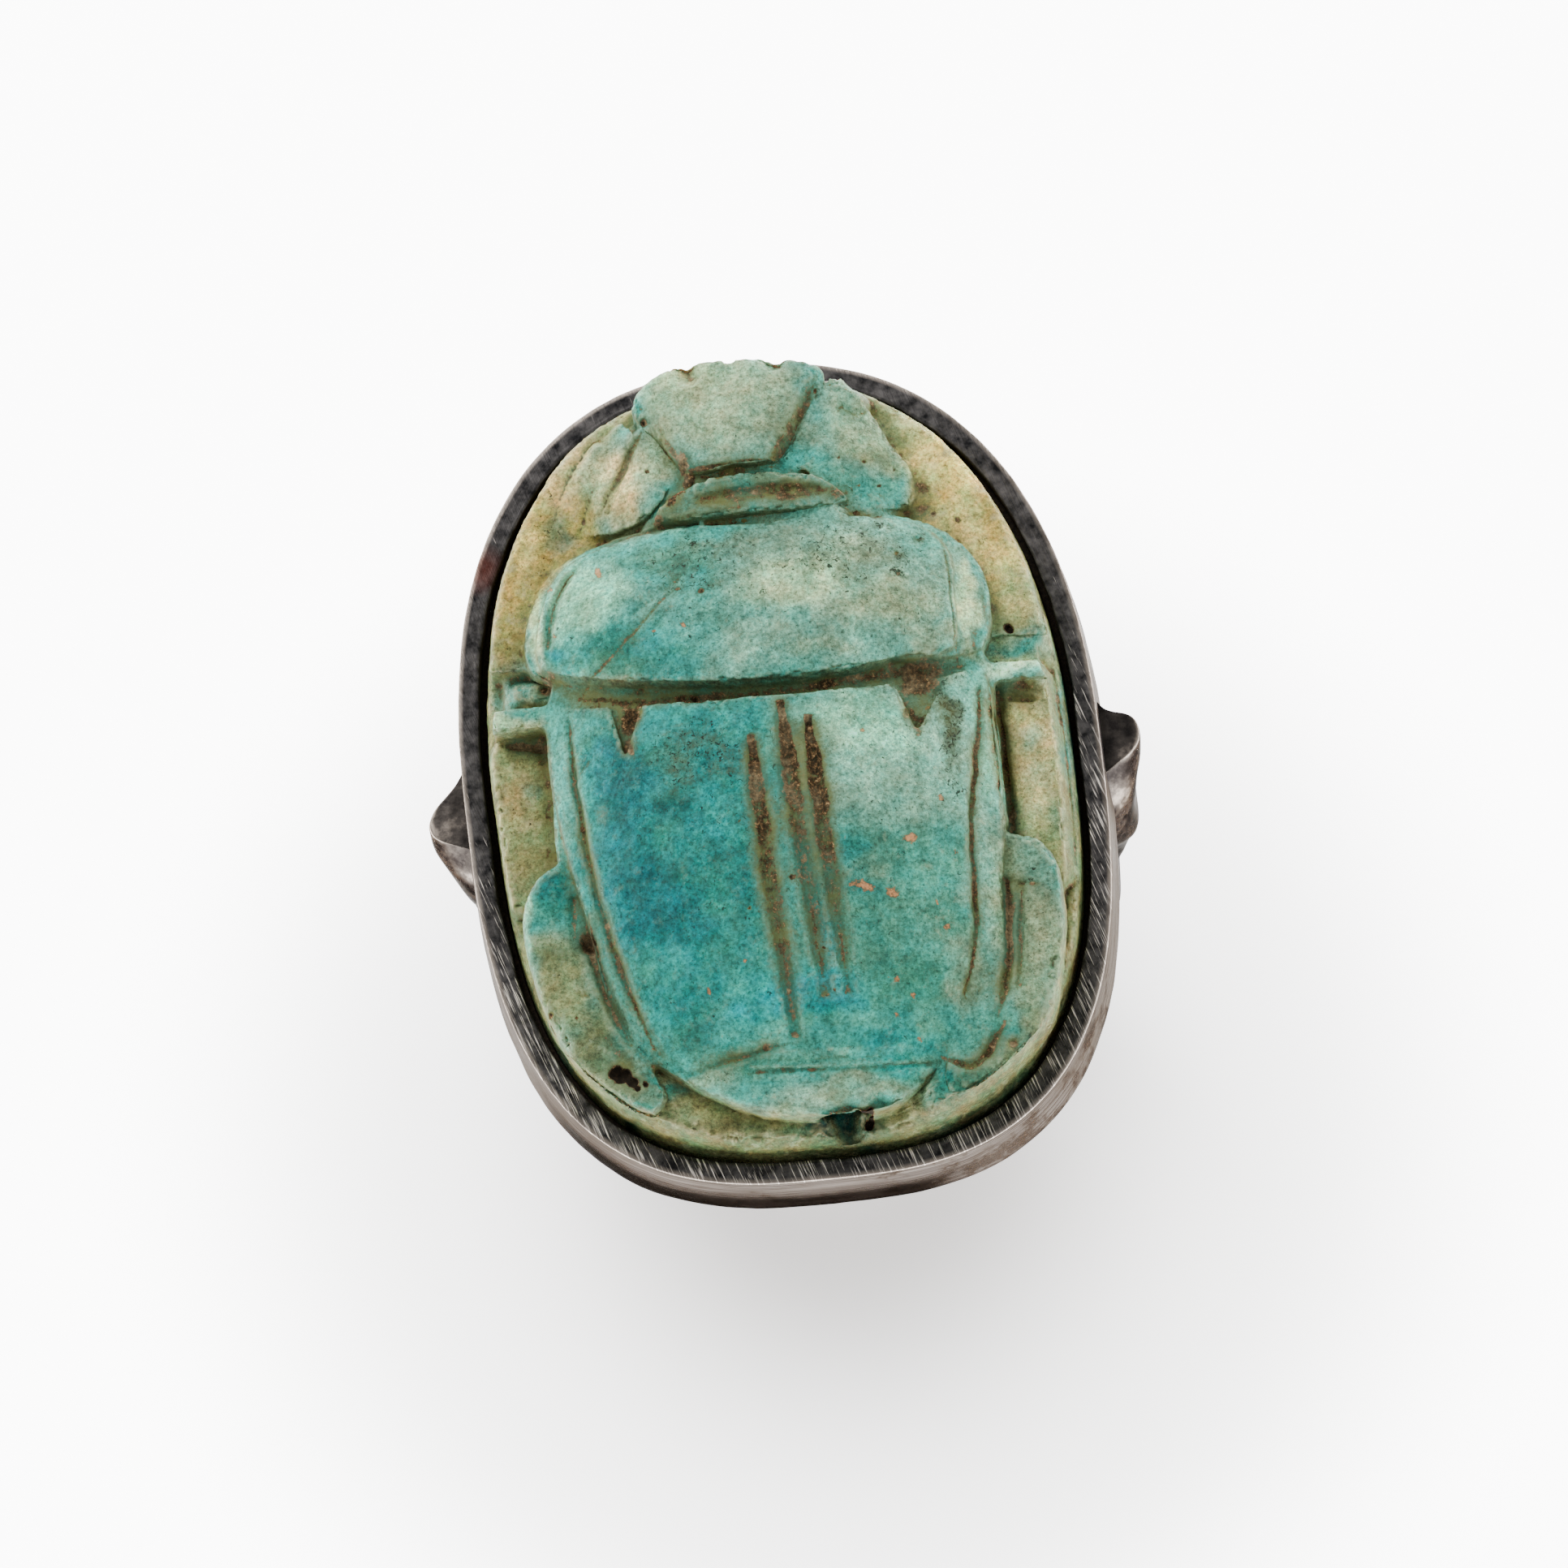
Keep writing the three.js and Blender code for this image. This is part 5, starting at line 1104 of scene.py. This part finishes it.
def bend_hoop():
    """A circle, pressed to the band's section, drawn down, spun round the finger and drawn up."""
    deselect_all()
    bpy.ops.mesh.primitive_circle_add(vertices=36, radius=HOOP_THICKNESS * MM,
                                      location=(-HOOP_RADIUS * MM, 0, ARM_TOP * MM))
    piece = bpy.context.object
    piece.name = "silver_hoop"
    settle(piece)
    spots = places(piece)
    turn = np.arctan2(spots[:, 1], -(spots[:, 0] + HOOP_RADIUS))
    outside = np.cos(turn) > 0.02
    height = np.where(outside, np.abs(np.cos(turn)) ** SECTION_FULLNESS, 0) - 0.5
    spots[:, 0] = -HOOP_RADIUS - HOOP_THICKNESS * height
    flat_side = np.clip(np.sin(turn), -0.97, 0.97)
    spots[:, 1] = np.where(outside, np.sin(turn), flat_side) * ARM_WIDTH / 2
    put_back(piece, spots)

    edit(piece)
    bpy.ops.mesh.select_all(action="SELECT")
    for _ in range(ARM_STEPS):
        down = -ARM_TOP * MM / ARM_STEPS
        bpy.ops.mesh.extrude_region_move(TRANSFORM_OT_translate={"value": (0, 0, down)})
    bpy.ops.mesh.spin(steps=BEND_STEPS, angle=math.pi, center=(0, 0, 0), axis=(0, 1, 0))
    for _ in range(ARM_STEPS):
        up = ARM_TOP * MM / ARM_STEPS
        bpy.ops.mesh.extrude_region_move(TRANSFORM_OT_translate={"value": (0, 0, up)})
    bpy.ops.mesh.select_all(action="SELECT")
    bpy.ops.mesh.remove_doubles(threshold=WELD * MM)
    bpy.ops.mesh.select_all(action="DESELECT")
    bpy.ops.mesh.select_mode(type="EDGE")
    bpy.ops.mesh.select_non_manifold()
    bpy.ops.mesh.edge_face_add()
    leave_edit()
    face_outwards(piece)
    apply_modifier(piece, "BEVEL", width=0.16 * MM, segments=3, limit_method="ANGLE",
                   angle_limit=math.radians(50))
    apply_modifier(piece, "SUBSURF", levels=1, render_levels=1)

    spots = places(piece)
    height = spots[:, 2] + RIM_HEIGHT
    spots[:, 1] *= 1 + (FOOT_WIDTH / ARM_WIDTH - 1) * np.clip(-height / HOOP_RADIUS, 0, 1)
    spots[:, 0] += hoop_shift(spots[:, 2])
    # the arms were filed slimmer outside than the foot
    slim = smoothstep(height, -8.5, -1.0)
    outer = smoothstep(np.abs(spots[:, 0]), 9.0, 10.2)
    spots[:, 0] -= np.sign(spots[:, 0]) * ARM_SLIMMING * slim * outer
    outward = facing(piece)
    wavy = 0.02 + 0.03 * rough(spots, 3.0, 21, 2) + 0.012 * rough(spots, 0.9, 22, 2)
    spots -= outward * wavy[:, None]
    put_back(piece, keep_inside(spots, "shank"))
    # the outer face is more tarnished, most of all near the buds
    spots, outward = places(piece), facing(piece)
    height = spots[:, 2] + RIM_HEIGHT
    away = spots[:, 0] * outward[:, 0] + np.minimum(height, 0) * outward[:, 2]
    outer_face = smoothstep(away, 0.0, 4.0)
    wear_and_painted_light = wear_of(piece, 10) * (1 - 0.6 * outer_face)
    store(piece, "wear_and_painted_light", wear_and_painted_light - 0.35 * outer_face * (0.45 + 0.55 * smoothstep(height, -8.0, 1.0)))
    make_active(piece)
    bpy.ops.object.shade_smooth()
    return piece


def cast_shoulder(name, side, outlines):
    """A cube, cut fine, then pressed against the wall into the form of the bud."""
    deselect_all()
    bpy.ops.mesh.primitive_cube_add(size=2 * MM, location=(0, 0, RIM_HEIGHT * MM))
    piece = bpy.context.object
    piece.name = name
    settle(piece)
    edit(piece)
    bpy.ops.mesh.select_all(action="SELECT")
    bpy.ops.mesh.subdivide(number_cuts=BUD_CUTS)
    leave_edit()

    # each point of the cube lies between two outlines, and between two places of each
    block = places(piece)
    outlines = np.array(outlines)
    out_share, up_share = (side * block[:, 0] + 1) / 2, (block[:, 2] + 1) / 2
    level = BUD_LEVELS[0] + up_share * (BUD_LEVELS[-1] - BUD_LEVELS[0])
    row = np.interp(level, BUD_LEVELS, range(len(BUD_LEVELS)))
    step = np.clip((1 - block[:, 1]) / 2, 0, 1) * (outlines.shape[1] - 1)
    low_row = np.minimum(row.astype(int), outlines.shape[0] - 2)
    low_step = np.minimum(step.astype(int), outlines.shape[1] - 2)
    row_share, step_share = (row - low_row)[:, None], (step - low_step)[:, None]
    lower, upper = (
        outlines[which, low_step] * (1 - step_share) + outlines[which, low_step + 1] * step_share
        for which in (low_row, low_row + 1))
    y, x = (lower * (1 - row_share) + upper * row_share).T

    # below, the bud takes the section of the hoop's arm and sinks into it
    sink = smoothstep(-level, 7.6, 9.8)
    half = ARM_WIDTH / 2 * (BUD_NARROWING[0] - BUD_NARROWING[1] * smoothstep(-level, 5.0, 10.2))
    y += smoothstep(-level, 4.4, 6.4) * (half * np.sin(math.pi / 2 * block[:, 1]) - y)
    arch = np.clip(1 - (y / half) ** 2, 0, 1) ** (SECTION_FULLNESS / 2)
    arm = HOOP_RADIUS + side * hoop_shift(level) + HOOP_THICKNESS * (arch - 0.5)
    arm += BUD_ON_ARM[0] - BUD_ON_ARM[1] * sink - ARM_SLIMMING * smoothstep(arm, 9.0, 10.2)
    x += smoothstep(-level, 3.6, 4.6) * np.maximum(arm - x, 0)
    x -= sink * np.maximum(x - arm, 0)
    # its back lies inside the arm
    back = BUD_BACK + 0.25 * smoothstep(-level, 4.4, 5.2)
    x = back + out_share * (x - back)
    # the top falls off a little towards the nose
    level = level - up_share ** 12 * 0.12 * smoothstep(x, 9.9, 10.6)
    put_back(piece, np.stack([side * x, y, level], 1))
    apply_modifier(piece, "SMOOTH", factor=0.5, iterations=7)
    apply_modifier(piece, "SUBSURF", levels=1, render_levels=1)
    spots, outward = places(piece), facing(piece)
    spots -= outward * (0.01 + 0.02 * rough(spots, 1.3, 31 + side, 2))[:, None]
    put_back(piece, spots)
    # patina in the hollows, painted shade on the upright sides and a painted highlight on the nose
    upright = 1 - smoothstep(outward[:, 2], 0.3, 0.75)
    painted_nose_highlight = smoothstep(np.abs(spots[:, 0]), 10.2, 10.5) * (1 - upright)
    store(piece, "wear_and_painted_light", wear_of(piece, 14) * (1 - 0.7 * upright) - 0.35 * upright + 0.6 * painted_nose_highlight)
    make_active(piece)
    bpy.ops.object.shade_smooth()
    return piece


def filed_silver():
    """Silver strip, filed flat on top and blackened with age: the file's teeth left bright
    slanting scratches in a dark grey skin. The outer face was burnished, and stays a warm satin
    grey with hair-fine lines along it."""
    material = new_material("filed_silver")
    tree = material.node_tree
    strip = add(tree, "UVMap", uv_map="strip")
    spot = add(tree, "TexCoord").outputs["Object"]
    split = add(tree, "SeparateXYZ", {0: strip})
    top, inside, edge, depth, tarnish, marks, painted_foot_shade = (
        add(tree, "Attribute", attribute_name=name).outputs["Fac"]
        for name in ("top", "inside", "rim_edge", "depth", "tarnish", "file_marks", "painted_foot_shade"))

    # strokes of the file, 0.07 mm wide, all in one direction: the file went over the whole rim
    turned = add(tree, "VectorRotate", {"Vector": spot, "Angle": math.radians(-19)},
                 rotation_type="Z_AXIS")
    stroke_place = add(tree, "Mapping", {0: turned, 3: (1000 / 0.048, 1000 / 1.2, 0)})
    strokes = add(tree, "TexNoise",
                  {"Vector": stroke_place, "Scale": 1.0, "Detail": 2.0, "Roughness": 0.6})
    breaks = add(tree, "TexNoise",
                 {"Vector": spot, "Scale": 1000 / 0.9, "Detail": 3.0, "Roughness": 0.6})
    stroke_room = add(tree, "Math", {0: breaks, 1: 0.5, 2: marks}, operation="MULTIPLY_ADD")
    stroke_edge = add(tree, "Math", {0: stroke_room, 1: -0.17, 2: 0.735}, operation="MULTIPLY_ADD")
    stroke_over = add(tree, "Math", {0: strokes, 1: stroke_edge}, operation="SUBTRACT")
    stroke_share = add(tree, "MapRange", {0: stroke_over, 1: 0.03, 2: 0.16, 3: 0.0, 4: 1.0})

    # the dark skin of the top, in clouds of half a millimetre, with a rusty stain
    skin = add(tree, "TexNoise",
               {"Vector": spot, "Scale": 1000 / 0.5, "Detail": 5.0, "Roughness": 0.65})
    dark = add(tree, "ValToRGB", {0: skin})
    for end, place, shade in zip(dark.color_ramp.elements, (0.35, 0.68), ("#212122", "#5c5958")):
        end.position, end.color = place, linear(shade)
    top_marked = add(tree, "Mix",
                     {0: stroke_share, 6: dark, 7: linear("#f0e6dc")},
                     data_type="RGBA")
    edge_noise = add(tree, "Math", {0: breaks, 1: 1.5, 2: edge}, operation="MULTIPLY")
    edge_share = add(tree, "Math", {0: edge_noise, 1: edge}, operation="MULTIPLY", use_clamp=True)
    top_edged = add(tree, "Mix",
                    {0: edge_share, 6: top_marked, 7: linear("#a89c90")},
                    data_type="RGBA")

    # hair-fine lines along the burnished face
    line_along = add(tree, "Math", {0: split.outputs["X"], 1: 1 / 4.0}, operation="MULTIPLY")
    line_across = add(tree, "Math", {0: split.outputs["Y"], 1: 1 / 0.06}, operation="MULTIPLY")
    line_place = add(tree, "CombineXYZ", {0: line_along, 1: line_across})
    lines = add(tree, "TexNoise",
                {"Vector": line_place, "Scale": 1.0, "Detail": 3.0, "Roughness": 0.6})
    face = add(tree, "ValToRGB", {0: lines})
    for end, place, shade in zip(face.color_ramp.elements, (0.3, 0.7), ("#393533", "#6a6561")):
        end.position, end.color = place, linear(shade)
    patches = add(tree, "TexNoise",
                  {"Vector": spot, "Scale": 1000 / 1.1, "Detail": 5.0, "Roughness": 0.7})
    patch_sum = add(tree, "Math", {0: tarnish, 1: 0.17, 2: patches}, operation="MULTIPLY_ADD")
    low_down = add(tree, "Math", {0: depth, 1: 0.03, 2: patch_sum}, operation="MULTIPLY_ADD")
    patch_share = add(tree, "MapRange", {0: low_down, 1: 0.66, 2: 0.78, 3: 0.0, 4: 0.85})
    face_stained = add(tree, "Mix",
                       {0: patch_share, 6: face, 7: linear("#3a3531")},
                       data_type="RGBA")

    # painted shade: the lower edge below the tail is painted almost black
    foot_share = add(tree, "Math", {0: painted_foot_shade, 1: 0.97}, operation="MULTIPLY")
    face_darkened = add(tree, "Mix",
                        {0: foot_share, 6: face_stained, 7: linear("#191614")},
                        data_type="RGBA")
    outer = add(tree, "Mix", {0: top, 6: face_darkened, 7: top_edged}, data_type="RGBA")
    # a brown stain on the rim, 1.6 mm long
    from_stain = add(tree, "VectorMath", {0: spot, 1: RIM_STAIN}, operation="DISTANCE")
    stain_share = add(tree, "MapRange", {0: from_stain, 1: 0.0003, 2: 0.0009, 3: 0.6, 4: 0.0})
    outer = add(tree, "Mix", {0: stain_share, 6: outer, 7: linear("#5a2f26")}, data_type="RGBA")
    colour = add(tree, "Mix", {0: inside, 6: outer, 7: linear("#1d1a17")}, data_type="RGBA")
    gloss = add(tree, "MapRange", {0: skin, 1: 0.3, 2: 0.7, 3: 0.34, 4: 0.5})
    heights = add(tree, "Math", {0: strokes, 1: top}, operation="MULTIPLY")
    more_heights = add(tree, "Math", {0: lines, 1: 0.3, 2: heights}, operation="MULTIPLY_ADD")
    bump = add(tree, "Bump", {"Height": more_heights, "Strength": 0.8, "Distance": 0.00003})
    bright = add(tree, "Math", {0: 1.0, 1: inside}, operation="SUBTRACT")
    shader = add(tree, "BsdfPrincipled", {
        "Base Color": colour, "Metallic": bright, "Roughness": gloss,
        "Specular Tint": TARNISH_TINT, "Normal": bump,
    })
    add(tree, "OutputMaterial", {"Surface": shader})
    return material


def cast_silver():
    """Cast silver, worn by the hand: warm and bright on its ridges, brown-black in its hollows."""
    material = new_material("worn_cast_silver")
    tree = material.node_tree
    spot = add(tree, "TexCoord").outputs["Object"]
    # wear and patina, and on the buds also painted shade and a painted highlight
    wear_and_painted_light = add(tree, "Attribute", attribute_name="wear_and_painted_light").outputs["Fac"]
    skin = add(tree, "TexNoise",
               {"Vector": spot, "Scale": 1000 / 0.9, "Detail": 5.0, "Roughness": 0.65})
    wear_sum = add(tree, "Math", {0: wear_and_painted_light, 1: 0.28, 2: skin}, operation="MULTIPLY_ADD")
    tone = add(tree, "ValToRGB", {0: wear_sum})
    for end, place, shade in zip(tone.color_ramp.elements, (0.22, 0.8), ("#1b1918", "#9a8f84")):
        end.position, end.color = place, linear(shade)
    for stop, shade in ((0.4, "#2a2726"), (0.58, "#4a4541")):
        made = tone.color_ramp.elements.new(stop)
        made.color = linear(shade)
    scratches = add(tree, "TexNoise",
                    {"Vector": spot, "Scale": 1000 / 0.2, "Detail": 4.0, "Roughness": 0.7})
    gloss = add(tree, "MapRange", {0: scratches, 1: 0.3, 2: 0.7, 3: 0.3, 4: 0.48})
    bump = add(tree, "Bump", {"Height": scratches, "Strength": 0.35, "Distance": 0.00002})
    shader = add(tree, "BsdfPrincipled", {
        "Base Color": tone, "Metallic": 1.0, "Roughness": gloss,
        "Specular Tint": TARNISH_TINT, "Normal": bump,
    })
    add(tree, "OutputMaterial", {"Surface": shader})
    return material


def plate_silver():
    """Rolled silver plate under the bezel: flat, grey, finely scratched in every direction."""
    material = new_material("tarnished_silver_plate")
    tree = material.node_tree
    spot = add(tree, "TexCoord").outputs["Object"]
    clouds = add(tree, "TexNoise",
                 {"Vector": spot, "Scale": 1000 / 3.0, "Detail": 6.0, "Roughness": 0.65})
    tone = add(tree, "ValToRGB", {0: clouds})
    for end, place, shade in zip(tone.color_ramp.elements, (0.32, 0.66), ("#5e5550", "#b9afa7")):
        end.position, end.color = place, linear(shade)
    stretched = add(tree, "Mapping", {0: spot, 3: (1000 / 2.0, 1000 / 0.09, 1000.0)})
    lines = add(tree, "TexNoise",
                {"Vector": stretched, "Scale": 1.0, "Detail": 3.0, "Roughness": 0.6})
    gloss = add(tree, "MapRange", {0: lines, 1: 0.3, 2: 0.7, 3: 0.3, 4: 0.5})
    bump = add(tree, "Bump", {"Height": lines, "Strength": 0.4, "Distance": 0.00002})
    shader = add(tree, "BsdfPrincipled", {
        "Base Color": tone, "Metallic": 1.0, "Roughness": gloss, "Normal": bump,
    })
    add(tree, "OutputMaterial", {"Surface": shader})
    return material


def dark_cement():
    """The filling: old resin and soot, dull, almost black, with grains of about 0.15 mm."""
    material = new_material("dark_resin_cement")
    tree = material.node_tree
    spot = add(tree, "TexCoord").outputs["Object"]
    grains = add(tree, "TexNoise",
                 {"Vector": spot, "Scale": 1000 / 0.15, "Detail": 4.0, "Roughness": 0.75})
    tone = add(tree, "ValToRGB", {0: grains})
    for end, place, shade in zip(tone.color_ramp.elements, (0.35, 0.75), ("#100d0a", "#3a2f22")):
        end.position, end.color = place, linear(shade)
    bump = add(tree, "Bump", {"Height": grains, "Strength": 0.7, "Distance": 0.00006})
    shader = add(tree, "BsdfPrincipled", {
        "Base Color": tone, "Roughness": 0.9, "Specular IOR Level": 0.2, "Normal": bump,
    })
    add(tree, "OutputMaterial", {"Surface": shader})
    return material


def finish_as(node, material):
    """Gives a CAD node that stays in view its real finish."""
    for slot in frame["nodes"][node].material_slots:
        slot.material = material


set_camera()
set_light()
set_floor()

scarab = carve_scarab()
scarab.data.materials.append(glazed_steatite())
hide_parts("scarab")
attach(scarab, "root")

wall = raise_wall()
wall.data.materials.append(filed_silver())
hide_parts("bezel_wall")
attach(wall, "root")

worn_silver = cast_silver()
hoop = bend_hoop()
hoop.data.materials.append(worn_silver)
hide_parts("shank")
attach(hoop, "root")

for node, name, side, outlines in (
        ("left_shoulder", "left_bud", -1, LEFT_BUD), ("right_shoulder", "right_bud", 1, RIGHT_BUD)):
    bud = cast_shoulder(name, side, outlines)
    bud.data.materials.append(worn_silver)
    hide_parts(node)
    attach(bud, "root")

finish_as("bezel_floor", plate_silver())
finish_as("bedding", dark_cement())
